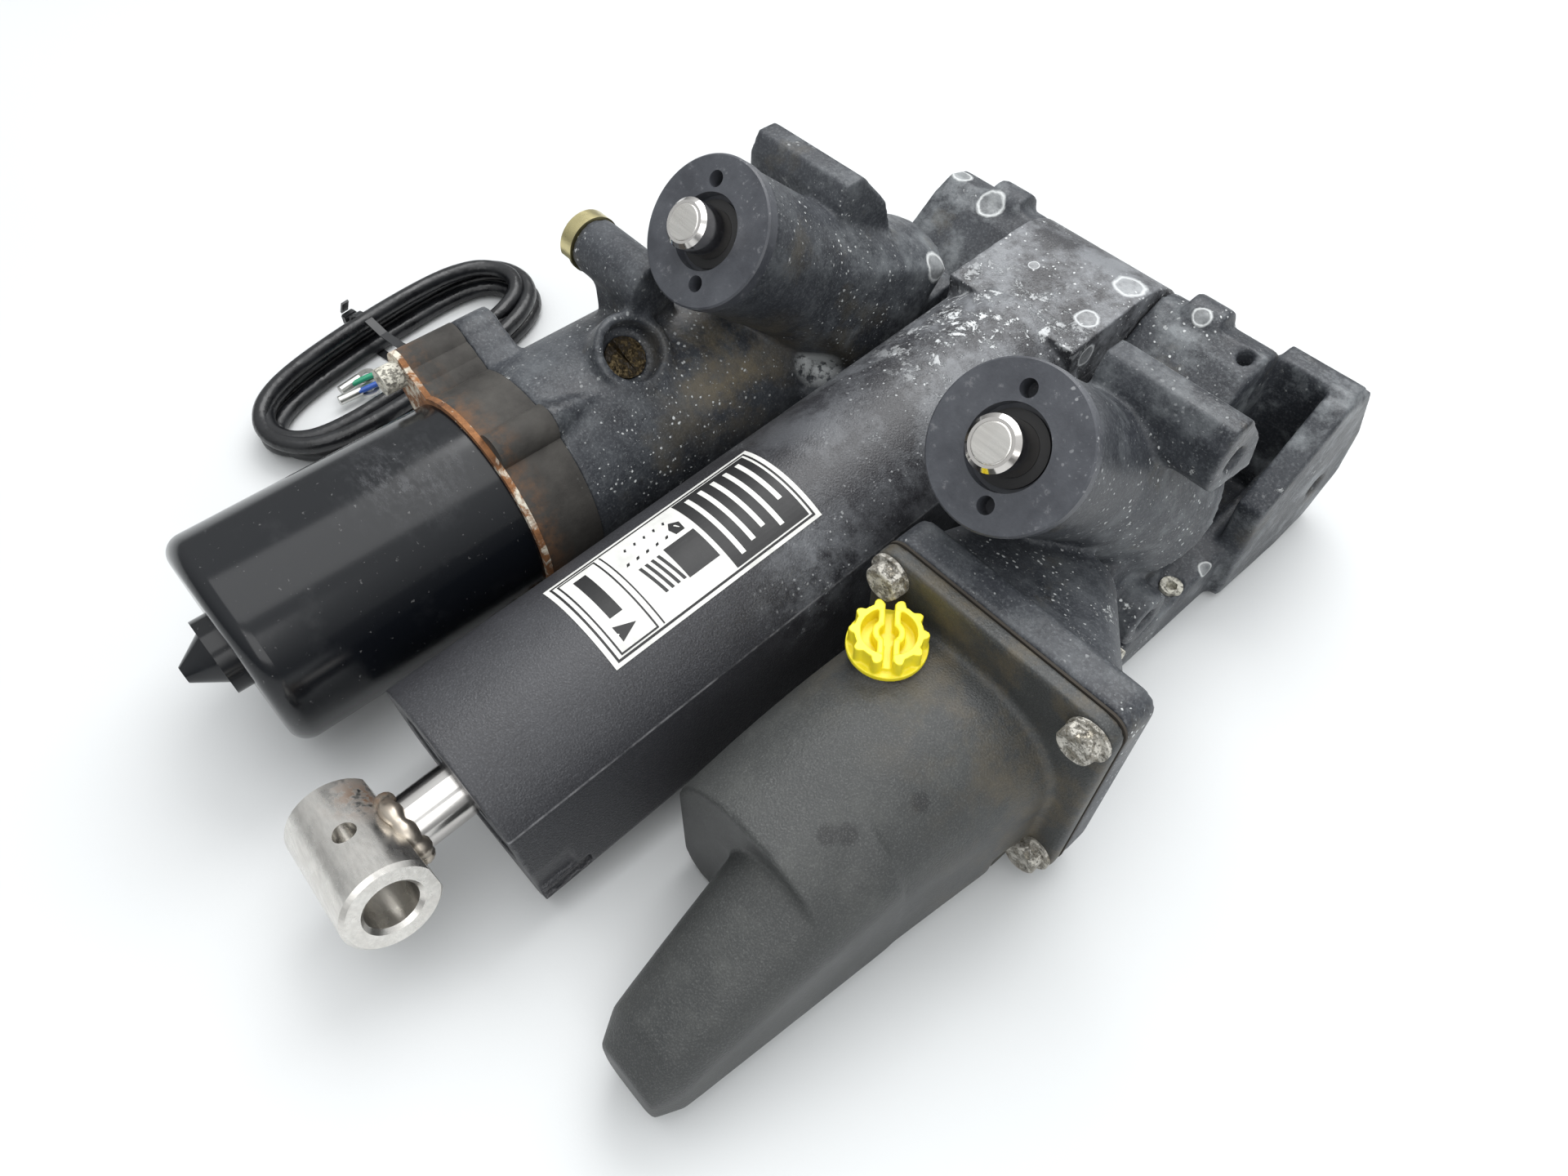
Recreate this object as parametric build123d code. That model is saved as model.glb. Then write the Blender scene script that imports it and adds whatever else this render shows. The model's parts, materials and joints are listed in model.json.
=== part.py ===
from build123d import *
import math
import os

# Power tilt and trim unit of an outboard engine, lying on its back.
# Millimetres. Origin: centre of the tilt rod's eye. +Y runs from the eye towards the manifold's
# hinge, +X towards the oil reservoir, +Z up.

# Tilt cylinder: its axis starts at the eye and climbs slightly towards the hinge.
TILT_PITCH = 4.3
HINGE_DISTANCE = 370.0
CYLINDER_START = 39.5
CYLINDER_END = 332.0
CYLINDER_RADIUS = 43.0
CYLINDER_BORE = 32.0
BORE_START = CYLINDER_START
BORE_END = 324.0
RIDGE_ANGLE = 64.0
FLANK_HALF_WIDTH = 44.6
FLANK_LOW = -24.0
BELLY_HALF_WIDTH = 33.0
BELLY_DEPTH = -43.4
HINGE_BLOCK_RADIUS = 40.0
HINGE_BLOCK_HALF_WIDTH = 33.7
TILT_ROD_RADIUS = 11.1
GLAND_LENGTH = 26.0
PISTON_START = 282.0
PISTON_LENGTH = 22.0
MEMORY_PISTON_START = 306.0
MEMORY_PISTON_LENGTH = 15.0
SLIDE_GAP = 0.05

# Rod eye
EYE_LENGTH = 51.5
EYE_RADIUS = 17.75
EYE_BORE = 9.525
EYE_CHAMFER = 1.5
EYE_ROLL = 15.0
EYE_CROSS_HOLE = 4.2
EYE_FLAT = 15.6

# Trim rams: two, leaning forward and up on either side of the tilt cylinder.
TRIM_SPACING = 148.4
TRIM_Y = 220.4
TRIM_Z = 110.5
TRIM_ELEVATION = 41.0
TRIM_CAP_RADIUS = 29.0
TRIM_CAP_THICKNESS = 6.0
TRIM_NECK_RADIUS = 23.5
TRIM_NECK_LENGTH = 20.0
TRIM_BARREL_RADIUS = 28.2
TRIM_BARREL_LENGTH = 128.0
TRIM_BORE = 19.0
TRIM_BORE_DEPTH = 122.0
TRIM_ROD_RADIUS = 9.525
TRIM_ROD_PROUD = 13.3
TRIM_RECESS = 14.75
TRIM_RECESS_DEPTH = 5.0
SPANNER_HOLE = 3.175
SPANNER_HALF_PITCH = 19.5
SPANNER_ANGLES = {"right": -15.0, "left": -22.0}

# Pump motor
MOTOR_X = -103.0
MOTOR_Z = 10.0
MOTOR_RADIUS = 45.5
MOTOR_WALL = 2.5
MOTOR_END = 5.5
MOTOR_CORNER = 8.0
MOTOR_RIM = 117.0
RIM_THICKNESS = 2.5
ADAPTER_END = 145.5
ADAPTER_RADIUS = 47.0
EAR_ANGLES = (-48.0, 132.0)
EAR_REACH = 61.0
EAR_HALF_WIDTH = 9.0
EAR_BACK = 163.0
END_BOSS_RADIUS = 16.0
END_BOSS_FACE = -1.0
END_CONE_TIP = -12.5
SHAFT_RADIUS = 5.0

# Pump
PUMP_CAVITY_RADIUS = 34.0
PUMP_CAVITY_END = 178.0
PUMP_COVER = (150.0, 156.0)
PUMP_BODY = (156.0, 176.0)
GEAR_POCKET_END = 167.0
PUMP_BEARING_END = 174.0
GEAR_MODULE = 1.5
GEAR_TEETH = 12
GEAR_PITCH_RADIUS = GEAR_MODULE * GEAR_TEETH / 2
PUMP_SHAFT_RADIUS = 4.0

# Manifold
HINGE_Y = HINGE_DISTANCE * math.cos(math.radians(TILT_PITCH))
HINGE_Z = HINGE_DISTANCE * math.sin(math.radians(TILT_PITCH))
BASE_Z = -41.0
EAR_INNER = 34.5
EAR_OUTER = 88.0
EAR_FRONT = 345.0
SIDE_X = 119.0
UPPER_BOSS = (295.0, 88.0)
LOWER_BOSS = (287.0, -1.0)
REAR_BOSS = (412.0, -6.0)
REAR_BOSS_X = 124.0
BRACKET_HOLE = 5.1
BRACKET_HOLE_DEPTH = 24.0
PIN_RADIUS = 9.525
PIN_HALF_LENGTH = 82.0

# Boss that carries the harness clip
CLIP_BOSS_START = (-97.0, 211.0, 74.0)
CLIP_BOSS_AXIS = (-1.0, 0.0, 0.0)
CLIP_BOSS_RADIUS = 12.0
CLIP_BOSS_LENGTH = 41.0
CLIP_OUTER = 12.5
CLIP_WIRE = 2.0

# Manual release valve: a slotted screw deep in a bore on top of the pump housing
VALVE_MOUTH = Vector(-88.0, 192.0, 60.0)
VALVE_AXIS = Vector(0.64, 0, 0.77).normalized()
VALVE_BOSS_RADIUS = 17.0
VALVE_COUNTERBORE = 12.6
VALVE_HEAD_DEPTH = 11.0
VALVE_RADIUS = 8.8

# Reservoir and the manifold flange it bolts to
JOINT_Y = 194.0
GASKET_THICKNESS = 1.0
FLANGE_THICKNESS = 6.5
FLANGE_X = (54.5, 157.0)
FLANGE_Z = (-31.0, 71.5)
FLANGE_CORNER = 8.0
BOLT_X = (63.0, 148.5)
BOLT_Z = (-22.5, 63.0)
BOLT_RADIUS = 4.0
RESERVOIR_WALL = 3.0
FILLER_CENTRE = (79.0, 169.0)
FILLER_TOP = 52.0
FILLER_RADIUS = 12.5
FILLER_BORE = 8.6
FILL_CAP_RADIUS = 14.2
FILL_CAP_HEIGHT = 9.0

# Motor harness
CABLE_RADIUS = 4.25
HANK_CENTRE = (-252.0, 156.0)
HANK_LONG = 92.0
HANK_SHORT = 41.0
HANK_BAND = 24.0
HANK_HEIGHT = 22.0
HANK_YAW = 10.0
TIE_THICKNESS = 1.2
TERMINALS = (((-247.0, 132.0), 178.0), ((-257.0, 136.0), 190.0))
GROMMET_RADIUS = 7.5
GROMMET_LENGTH = 14.0
CABLE_EXIT_Y = 132.5
CABLE_OUT = (-math.cos(math.radians(25)), 0.0, -math.sin(math.radians(25)))
CABLE_LEVEL = BASE_Z + CABLE_RADIUS + 0.6

TILT = Location((0, 0, 0), (TILT_PITCH, 0, 0))
ALONG_Y = (0, 1, 0)


def rod(origin, direction, radius, length):
    """Solid cylinder that starts at origin and runs along direction."""
    return Solid.make_cylinder(radius, length, Plane(origin=origin, z_dir=direction))


def tube(origin, direction, outer, inner, length):
    """Hollow cylinder."""
    return rod(origin, direction, outer, length) - rod(origin, direction, inner, length)


def frustum(origin, direction, start_radius, end_radius, length):
    """Cone frustum that starts at origin."""
    plane = Plane(origin=origin, z_dir=direction)
    return Solid.make_cone(start_radius, end_radius, length, plane)


def block(x, y, z):
    """Box between the low and high values of each axis."""
    plane = Plane(origin=(x[0], y[0], z[0]))
    return Solid.make_box(x[1] - x[0], y[1] - y[0], z[1] - z[0], plane)


def slab(outline, x0, x1):
    """Profile in the YZ plane, extruded from x0 to x1."""
    points = [(x0, y, z) for y, z in outline]
    face = make_face(Polyline(*points, close=True))
    return extrude(face, amount=x1 - x0, dir=(1, 0, 0)).solid()


def hexagon(origin, direction, across_flats, height):
    """Hexagonal prism."""
    plane = Plane(origin=origin, z_dir=direction)
    face = plane * RegularPolygon(across_flats / 2, 6, major_radius=False)
    return extrude(face, amount=height, dir=direction).solid()


def motor_point(angle, reach, y):
    """Point at an angle from straight up about the motor's axis."""
    turn = math.radians(angle)
    return (MOTOR_X + reach * math.sin(turn), y, MOTOR_Z + reach * math.cos(turn))


def trim_frame(side):
    """Frame on a trim cap's face, Z pointing out of the ram."""
    sign = 1 if side == "right" else -1
    return Location((sign * TRIM_SPACING / 2, TRIM_Y, TRIM_Z), (90 - TRIM_ELEVATION, 0, 0))


def save(shape, name):
    """Write one node; a group of pieces becomes one compound."""
    export_step(shape, f"parts/{name}.step")


def group(pieces):
    return Compound(children=[Part(piece.wrapped) for piece in pieces])


# ---------------------------------------------------------------- tilt cylinder


def cylinder_section(along):
    """Round top, flat flanks below a sharp ridge, and a flat belly."""
    ridge = math.radians(RIDGE_ANGLE)
    ridge_x = CYLINDER_RADIUS * math.sin(ridge)
    ridge_z = CYLINDER_RADIUS * math.cos(ridge)
    top = ThreePointArc((-ridge_x, along, ridge_z), (0, along, CYLINDER_RADIUS), (ridge_x, along, ridge_z))
    sides = Polyline(
        (ridge_x, along, ridge_z),
        (FLANK_HALF_WIDTH, along, FLANK_LOW),
        (FLANK_HALF_WIDTH - 2, along, FLANK_LOW - 5),
        (BELLY_HALF_WIDTH, along, BELLY_DEPTH),
        (-BELLY_HALF_WIDTH, along, BELLY_DEPTH),
        (-FLANK_HALF_WIDTH + 2, along, FLANK_LOW - 5),
        (-FLANK_HALF_WIDTH, along, FLANK_LOW),
        (-ridge_x, along, ridge_z),
    )
    return make_face([top.edge(), *sides.edges()])


def tilt_cylinder_body():
    section = cylinder_section(CYLINDER_START)
    barrel = extrude(section, amount=CYLINDER_END - CYLINDER_START, dir=ALONG_Y).solid()
    centre = HINGE_DISTANCE
    width = 2 * HINGE_BLOCK_HALF_WIDTH
    hinge = rod((-width / 2, centre, 0), (1, 0, 0), HINGE_BLOCK_RADIUS, width)
    half = (-HINGE_BLOCK_HALF_WIDTH, HINGE_BLOCK_HALF_WIDTH)
    web = block(half, (CYLINDER_END - 6, centre), (-HINGE_BLOCK_RADIUS, HINGE_BLOCK_RADIUS))
    body = barrel + web + hinge
    body -= rod((0, BORE_START, 0), ALONG_Y, CYLINDER_BORE, BORE_END - BORE_START)
    body -= rod((-width / 2, centre, 0), (1, 0, 0), PIN_RADIUS + 3, width)
    body -= rod((0, BORE_END - 1, 0), ALONG_Y, 4, 14)
    notch_y = (CYLINDER_START, CYLINDER_START + 21)
    body -= block((FLANK_HALF_WIDTH - 4, FLANK_HALF_WIDTH + 2), notch_y, (-25, -19))
    pad_y = (CYLINDER_START, CYLINDER_START + 16)
    body -= block((FLANK_HALF_WIDTH - 2.6, FLANK_HALF_WIDTH + 2), pad_y, (-17.5, 10))
    return TILT * body.solid()


def tilt_gland():
    """Threaded end nut that guides the rod, with two spanner holes."""
    start = CYLINDER_START + 1
    gland = tube((0, start, 0), ALONG_Y, CYLINDER_BORE, TILT_ROD_RADIUS + SLIDE_GAP, GLAND_LENGTH)
    gland -= rod((0, start, 0), ALONG_Y, 16.0, 5)
    for side in (-1, 1):
        gland -= rod((side * 22.0, start, 0), ALONG_Y, SPANNER_HOLE, 8)
    gland -= tube((0, start + 12, 0), ALONG_Y, CYLINDER_BORE, CYLINDER_BORE - 3, 3.5)
    return TILT * gland.solid()


def tilt_gland_seals():
    """Rod wiper in the gland's recess and O-ring in its outer groove."""
    wiper = tube((0, CYLINDER_START + 2.5, 0), ALONG_Y, 16.0, TILT_ROD_RADIUS + SLIDE_GAP, 3.5)
    oring = tube((0, CYLINDER_START + 13, 0), ALONG_Y, CYLINDER_BORE, CYLINDER_BORE - 3, 3.5)
    return group([TILT * wiper, TILT * oring])


def tilt_rod():
    shaft = rod((0, EYE_FLAT, 0), ALONG_Y, TILT_ROD_RADIUS, PISTON_START - EYE_FLAT)
    spigot = rod((0, PISTON_START, 0), ALONG_Y, 8, PISTON_LENGTH)
    return TILT * (shaft + spigot).solid()


def rod_eye():
    """Round eye with a milled flat where the rod is welded, and a cross hole for the pin's lock."""
    half = EYE_LENGTH / 2
    plane = Plane(origin=(-half, 0, 0), z_dir=(1, 0, 0))
    eye = Solid.make_cylinder(EYE_RADIUS, EYE_LENGTH, plane)
    eye = eye.chamfer(EYE_CHAMFER, None, eye.edges().filter_by(GeomType.CIRCLE))
    eye -= block((-half, half), (EYE_FLAT, EYE_RADIUS + 1), (-EYE_RADIUS, EYE_RADIUS))
    eye -= rod((-half, 0, 0), (1, 0, 0), EYE_BORE, EYE_LENGTH)
    for end, way in ((-half, 1), (half, -1)):
        eye -= frustum((end, 0, 0), (way, 0, 0), EYE_BORE + EYE_CHAMFER, EYE_BORE, EYE_CHAMFER)
    eye -= rod((1.3, 0, 0), (0, 0.1, 1), EYE_CROSS_HOLE, EYE_RADIUS + 2)
    roll = Location((0, 0, 0), (0, -EYE_ROLL, 0))
    return TILT * (roll * eye.solid())


def weld_bead():
    """Ring of weld between the eye's flat and the rod."""
    profile_centre = (TILT_ROD_RADIUS + 0.6, EYE_FLAT + 1.4, 0)
    ring = Plane(origin=profile_centre, z_dir=(0, 0, 1)) * Circle(2.6)
    bead = revolve(ring, axis=Axis.Y).solid()
    bead -= rod((0, EYE_FLAT - 4, 0), ALONG_Y, TILT_ROD_RADIUS, 12)
    bead -= block((-20, 20), (EYE_FLAT - 6, EYE_FLAT), (-20, 20))
    return TILT * bead.solid()


def tilt_piston():
    start = PISTON_START
    piston = tube((0, start, 0), ALONG_Y, CYLINDER_BORE - SLIDE_GAP, 8, PISTON_LENGTH)
    piston -= tube((0, start + 8, 0), ALONG_Y, CYLINDER_BORE, 28.5, 4)
    piston -= rod((0, start + PISTON_LENGTH - 9, 0), ALONG_Y, 15, 10)
    return TILT * piston.solid()


def piston_ring(start):
    return TILT * tube((0, start, 0), ALONG_Y, CYLINDER_BORE - 0.03, 28.5, 4)


def piston_nut():
    start = PISTON_START + PISTON_LENGTH - 9
    nut = hexagon((0, start, 0), ALONG_Y, 24, 8)
    nut -= rod((0, start, 0), ALONG_Y, 8, 8)
    return TILT * nut.solid()


def memory_piston():
    """Free piston that stays below the main piston and marks its place after an impact."""
    start = MEMORY_PISTON_START
    piston = rod((0, start, 0), ALONG_Y, CYLINDER_BORE - SLIDE_GAP, MEMORY_PISTON_LENGTH)
    piston -= tube((0, start + 5, 0), ALONG_Y, CYLINDER_BORE, 28.5, 4)
    return TILT * piston.solid()


def hinge_bushings():
    length = 20.0
    pieces = []
    for start in (-HINGE_BLOCK_HALF_WIDTH, HINGE_BLOCK_HALF_WIDTH - length):
        place = (start, HINGE_DISTANCE, 0)
        pieces.append(TILT * tube(place, (1, 0, 0), PIN_RADIUS + 3, PIN_RADIUS + SLIDE_GAP, length))
    return group(pieces)


def information_label():
    """Thin curved sticker on the cylinder's upper side."""
    start, length, thickness = 101.0, 96.0, 0.25
    sheet = tube((0, start, 0), ALONG_Y, CYLINDER_RADIUS + thickness, CYLINDER_RADIUS, length)
    half = math.radians(30)
    reach = 80.0
    wedge = make_face(
        Polyline(
            (0, start, 0),
            (-reach * math.sin(half), start, reach * math.cos(half)),
            (reach * math.sin(half), start, reach * math.cos(half)),
            close=True,
        )
    )
    window = extrude(wedge, amount=length, dir=ALONG_Y)
    return TILT * (sheet & window).solid()


# ---------------------------------------------------------------- trim rams


def trim_cap(side):
    """Round gland cap with two spanner holes, its neck screwed into the barrel."""
    face = (0, 0, 0)
    cap = rod((0, 0, -TRIM_CAP_THICKNESS), (0, 0, 1), TRIM_CAP_RADIUS, TRIM_CAP_THICKNESS)
    cap = cap.chamfer(0.7, None, cap.edges().filter_by(GeomType.CIRCLE))
    depth = TRIM_CAP_THICKNESS + TRIM_NECK_LENGTH
    cap += rod((0, 0, -depth), (0, 0, 1), TRIM_NECK_RADIUS, depth - 1)
    cap -= rod((0, 0, -depth), (0, 0, 1), TRIM_ROD_RADIUS + SLIDE_GAP, depth)
    cap -= rod(face, (0, 0, -1), TRIM_RECESS, TRIM_RECESS_DEPTH)
    cap -= rod((0, 0, -TRIM_RECESS_DEPTH), (0, 0, -1), 13.0, 4)
    oring = (0, 0, -depth + 6)
    cap -= tube(oring, (0, 0, 1), TRIM_NECK_RADIUS, TRIM_NECK_RADIUS - 2.5, 3)
    turn = math.radians(SPANNER_ANGLES[side])
    for way in (-1, 1):
        centre = (way * SPANNER_HALF_PITCH * math.sin(turn), way * SPANNER_HALF_PITCH * math.cos(turn), 0)
        cap -= rod(centre, (0, 0, -1), SPANNER_HOLE, 8)
    return trim_frame(side) * cap.solid()


def trim_wipers():
    """Wiper lips around both trim rods."""
    lip = tube((0, 0, -TRIM_RECESS_DEPTH - 4), (0, 0, 1), 13.0, TRIM_ROD_RADIUS + SLIDE_GAP, 5.5)
    return group([trim_frame(side) * lip for side in ("left", "right")])


def static_seals():
    """O-rings that don't move: one under each trim cap's thread and one behind the motor adapter."""
    depth = TRIM_CAP_THICKNESS + TRIM_NECK_LENGTH
    ring = tube((0, 0, -depth + 6), (0, 0, 1), TRIM_NECK_RADIUS, TRIM_NECK_RADIUS - 2.5, 3)
    pieces = [trim_frame(side) * ring for side in ("left", "right")]
    start = ADAPTER_END + 0.4
    spigot = tube((MOTOR_X, start, MOTOR_Z), ALONG_Y, PUMP_CAVITY_RADIUS, PUMP_CAVITY_RADIUS - 3, 3)
    return group([*pieces, spigot])


def trim_rod(side):
    bottom = -TRIM_BORE_DEPTH + 3
    shaft = rod((0, 0, bottom), (0, 0, 1), TRIM_ROD_RADIUS, TRIM_ROD_PROUD - bottom)
    shaft = shaft.chamfer(1.6, None, shaft.edges().group_by(Axis.Z)[-1])
    shaft -= rod((0, 0, TRIM_ROD_PROUD - 2.5), (0, 0, 1), 6.85, 4)
    piston = rod((0, 0, bottom), (0, 0, 1), TRIM_BORE - SLIDE_GAP, 16)
    piston -= tube((0, 0, bottom + 6), (0, 0, 1), TRIM_BORE, TRIM_BORE - 3, 4)
    return trim_frame(side) * (shaft + piston).solid()


def trim_rod_tip(side):
    """Hardened button pressed into the rod's end."""
    button = rod((0, 0, TRIM_ROD_PROUD - 2.5), (0, 0, 1), 6.85, 2.9)
    button = button.fillet(0.6, button.edges().group_by(Axis.Z)[-1])
    return trim_frame(side) * button


def trim_piston_ring(side):
    bottom = -TRIM_BORE_DEPTH + 3
    ring = tube((0, 0, bottom + 6), (0, 0, 1), TRIM_BORE - 0.03, TRIM_BORE - 3, 4)
    return trim_frame(side) * ring


# ---------------------------------------------------------------- manifold


def trim_barrel(side):
    length = TRIM_BARREL_LENGTH - TRIM_CAP_THICKNESS
    barrel = rod((0, 0, -TRIM_CAP_THICKNESS), (0, 0, -1), TRIM_BARREL_RADIUS, length)
    return trim_frame(side) * barrel


def trim_skirt(side):
    """The barrel flares where it joins the base."""
    return trim_frame(side) * frustum((0, 0, -56), (0, 0, -1), TRIM_BARREL_RADIUS - 1, 42, 72)


def trim_cavity(side):
    neck = TRIM_CAP_THICKNESS + TRIM_NECK_LENGTH
    cavity = rod((0, 0, -TRIM_BORE_DEPTH), (0, 0, 1), TRIM_BORE, TRIM_BORE_DEPTH)
    cavity += rod((0, 0, -neck), (0, 0, 1), TRIM_NECK_RADIUS, neck)
    return trim_frame(side) * cavity.solid()


def hinge_ear(x0, x1):
    """Side cheek of the hinge: round about the pin behind, sloping down to the trim barrel in front."""
    rear = HINGE_Y + HINGE_BLOCK_RADIUS
    outline = [
        (EAR_FRONT, BASE_Z),
        (EAR_FRONT, 36.0),
        (HINGE_Y + 3, 57.0),
        (HINGE_Y + 14, 62.0),
        (HINGE_Y + 25, HINGE_Z + 31.2),
        (rear - 5, HINGE_Z + 18.0),
        (rear, HINGE_Z),
        (rear, BASE_Z + 12),
        (HINGE_Y + 26, BASE_Z),
    ]
    return slab(outline, x0, x1)


UPPER_BOSS_OUTLINE = (
    (281.0, 84.0), (282.0, 99.0), (286.0, 106.5), (296.0, 106.5), (311.0, 89.0), (316.0, 71.0), (288.0, 75.5),
)


def upper_boss(way):
    """Long boss over the trim barrel, flat on top, for the upper bracket bolt."""
    low, high = sorted((way * 64.0, way * SIDE_X))
    return slab(UPPER_BOSS_OUTLINE, low, high)


def side_boss(way, place, radius, x_inner, x_outer):
    """Round boss that ends in a machined face for a bracket bolt."""
    return rod((way * x_inner, *place), (way, 0, 0), radius, x_outer - x_inner)


def pump_housing():
    start = ADAPTER_END
    housing = rod((MOTOR_X, start, MOTOR_Z), ALONG_Y, ADAPTER_RADIUS, 118)
    housing += frustum((MOTOR_X, start + 118, MOTOR_Z), ALONG_Y, ADAPTER_RADIUS, 30, 46)
    for angle in EAR_ANGLES:
        housing += motor_ear(angle, ADAPTER_END, EAR_BACK - ADAPTER_END)
    corner = motor_point(24, 46, start)
    housing += frustum(corner, ALONG_Y, 8, 2, 22)
    return housing


def motor_ear(angle, y, length):
    """Screw ear that stands out of the round housing."""
    inner = rod(motor_point(angle, 30, y), ALONG_Y, EAR_HALF_WIDTH + 3, length)
    ear = inner
    for reach in (38, 45, 52, EAR_REACH):
        ear += rod(motor_point(angle, reach, y), ALONG_Y, EAR_HALF_WIDTH + (EAR_REACH - reach) * 0.25, length)
    return ear


def tank_neck():
    """Flange for the reservoir and the passage behind it."""
    flange = block(FLANGE_X, (JOINT_Y, JOINT_Y + 15), FLANGE_Z)
    upright = flange.edges().filter_by(Axis.Y)
    flange = flange.fillet(FLANGE_CORNER, upright)
    front = tank_section(JOINT_Y + 12, (56, 150), (-31, 68), 14, 10, 0)
    back = tank_section(262, (58, 112), (BASE_Z, 44), 14, 10, 0)
    return flange + loft([front, back])


def manifold_base():
    """Floor and side walls that tie the rams, the pump and the hinge together."""
    floor_top = -27.0
    floor = block((-112, SIDE_X - 4), (255, 352), (BASE_Z, floor_top))
    rear_floor = block((-112, SIDE_X - 2), (340, 400), (BASE_Z, -18))
    base = floor + rear_floor
    for way in (-1, 1):
        low, high = sorted((way * 48.0, way * 104.0))
        seat = slab([(258, BASE_Z), (258, 20), (300, 34), (346, 40), (346, BASE_Z)], low, high)
        base += seat
        low, high = sorted((way * 104.0, way * (SIDE_X - 1)))
        base += slab([(255, BASE_Z), (255, -20), (330, -14), (400, 4), (400, BASE_Z)], low, high)
    return base


def rear_lug():
    """Open pocket outboard of the right ear: side wall, rear wall and floor."""
    wall = [(352, -38), (352, 18), (392, 52), (414, 50), (436, 14), (441, -16), (424, -36), (400, BASE_Z)]
    side = slab(wall, 112, REAR_BOSS_X)
    back = block((EAR_OUTER - 2, REAR_BOSS_X - 2), (398, 410), (-36, 54))
    floor = block((EAR_OUTER - 2, REAR_BOSS_X - 2), (352, 432), (-38, -22))
    return side + back + floor


def manifold_casting():
    body = manifold_base() + pump_housing() + tank_neck() + rear_lug()
    body += hinge_ear(-EAR_OUTER, -EAR_INNER)
    body += hinge_ear(EAR_INNER, EAR_OUTER)
    for side, way in (("left", -1), ("right", 1)):
        body += trim_barrel(side)
        body += upper_boss(way)
        body += trim_skirt(side)
        body += side_boss(way, LOWER_BOSS, 13.0, 84, SIDE_X)
        body += side_boss(way, REAR_BOSS, 16.0, 84, REAR_BOSS_X)
        knob = (way * 55.0 - 9, HINGE_Y + 20, HINGE_Z + 29)
        body += rod(knob, (1, 0, 0), 10, 18)
    body += rod(CLIP_BOSS_START, CLIP_BOSS_AXIS, CLIP_BOSS_RADIUS, CLIP_BOSS_LENGTH)
    body += block((-126, -99), (201, 222), (40, 72))
    body += rod(valve_point(0), tuple(-VALVE_AXIS), VALVE_BOSS_RADIUS, 30)
    for side in ("left", "right"):
        body -= trim_cavity(side)
    body -= rod((MOTOR_X, ADAPTER_END, MOTOR_Z), ALONG_Y, PUMP_CAVITY_RADIUS, PUMP_CAVITY_END - ADAPTER_END)
    body -= valve_bore()
    body -= hinge_slot()
    body -= rod((-EAR_OUTER - 2, HINGE_Y, HINGE_Z), (1, 0, 0), PIN_RADIUS, PIN_HALF_LENGTH + EAR_OUTER + 2)
    for way in (-1, 1):
        for place, face in ((UPPER_BOSS, SIDE_X), (LOWER_BOSS, SIDE_X), (REAR_BOSS, REAR_BOSS_X)):
            body -= rod((way * face, *place), (-way, 0, 0), BRACKET_HOLE, BRACKET_HOLE_DEPTH)
            mouth = (way * face, *place)
            body -= frustum(mouth, (-way, 0, 0), BRACKET_HOLE + 1, BRACKET_HOLE, 1)
    for x in BOLT_X:
        for z in BOLT_Z:
            body -= rod((x, JOINT_Y, z), ALONG_Y, BOLT_RADIUS, 14)
    body -= block((68, 120), (JOINT_Y, JOINT_Y + 34), (-22, 48))
    body -= rod((80, 380, -45), (0, 0, 1), 3.5, 120)
    for angle in EAR_ANGLES:
        body -= rod(motor_point(angle, EAR_REACH, ADAPTER_END), ALONG_Y, 3, 16)
    for place, direction in PLUGS:
        above = tuple(Vector(*place) - Vector(*direction) * 12)
        body -= rod(above, direction, PLUG_RADIUS, PLUG_DEPTH + 12)
    return body.solid()


def hinge_slot():
    """Room for the tilt cylinder between the ears and over the floor."""
    wide = block((-47, 47), (240, EAR_FRONT), (-27, 130))
    narrow = block((-EAR_INNER, EAR_INNER), (EAR_FRONT - 2, 430), (-14.5, 130))
    sweep = rod((-EAR_INNER, HINGE_Y, HINGE_Z), (1, 0, 0), HINGE_BLOCK_RADIUS + 2, 2 * EAR_INNER)
    return wide + narrow + sweep


def hinge_pin():
    start = (-PIN_HALF_LENGTH, HINGE_Y, HINGE_Z)
    pin = rod(start, (1, 0, 0), PIN_RADIUS, 2 * PIN_HALF_LENGTH)
    return pin.chamfer(1.2, None, pin.edges().filter_by(GeomType.CIRCLE))


PLUG_RADIUS = 5.0
PLUG_DEPTH = 8.0
PLUGS = (((112.0, 322.0, -14.6), (0, 0, -1)), ((132.0, 232.0, 40.0), (-1, 0, 0)))


def gallery_plugs():
    """Socket plugs that close the drilled oil passages."""
    pieces = []
    for place, direction in PLUGS:
        plug = rod(place, direction, PLUG_RADIUS, PLUG_DEPTH)
        plug -= hexagon(place, direction, 4.8, 3.5)
        pieces.append(plug.solid())
    return group(pieces)


# ---------------------------------------------------------------- manual release valve

def valve_point(depth):
    return tuple(VALVE_MOUTH - VALVE_AXIS * depth)


def valve_bore():
    inward = tuple(-VALVE_AXIS)
    above = 8
    bore = rod(valve_point(-above), inward, VALVE_COUNTERBORE, above + VALVE_HEAD_DEPTH)
    return bore + rod(valve_point(-above), inward, VALVE_RADIUS + SLIDE_GAP, above + VALVE_HEAD_DEPTH + 19)


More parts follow.
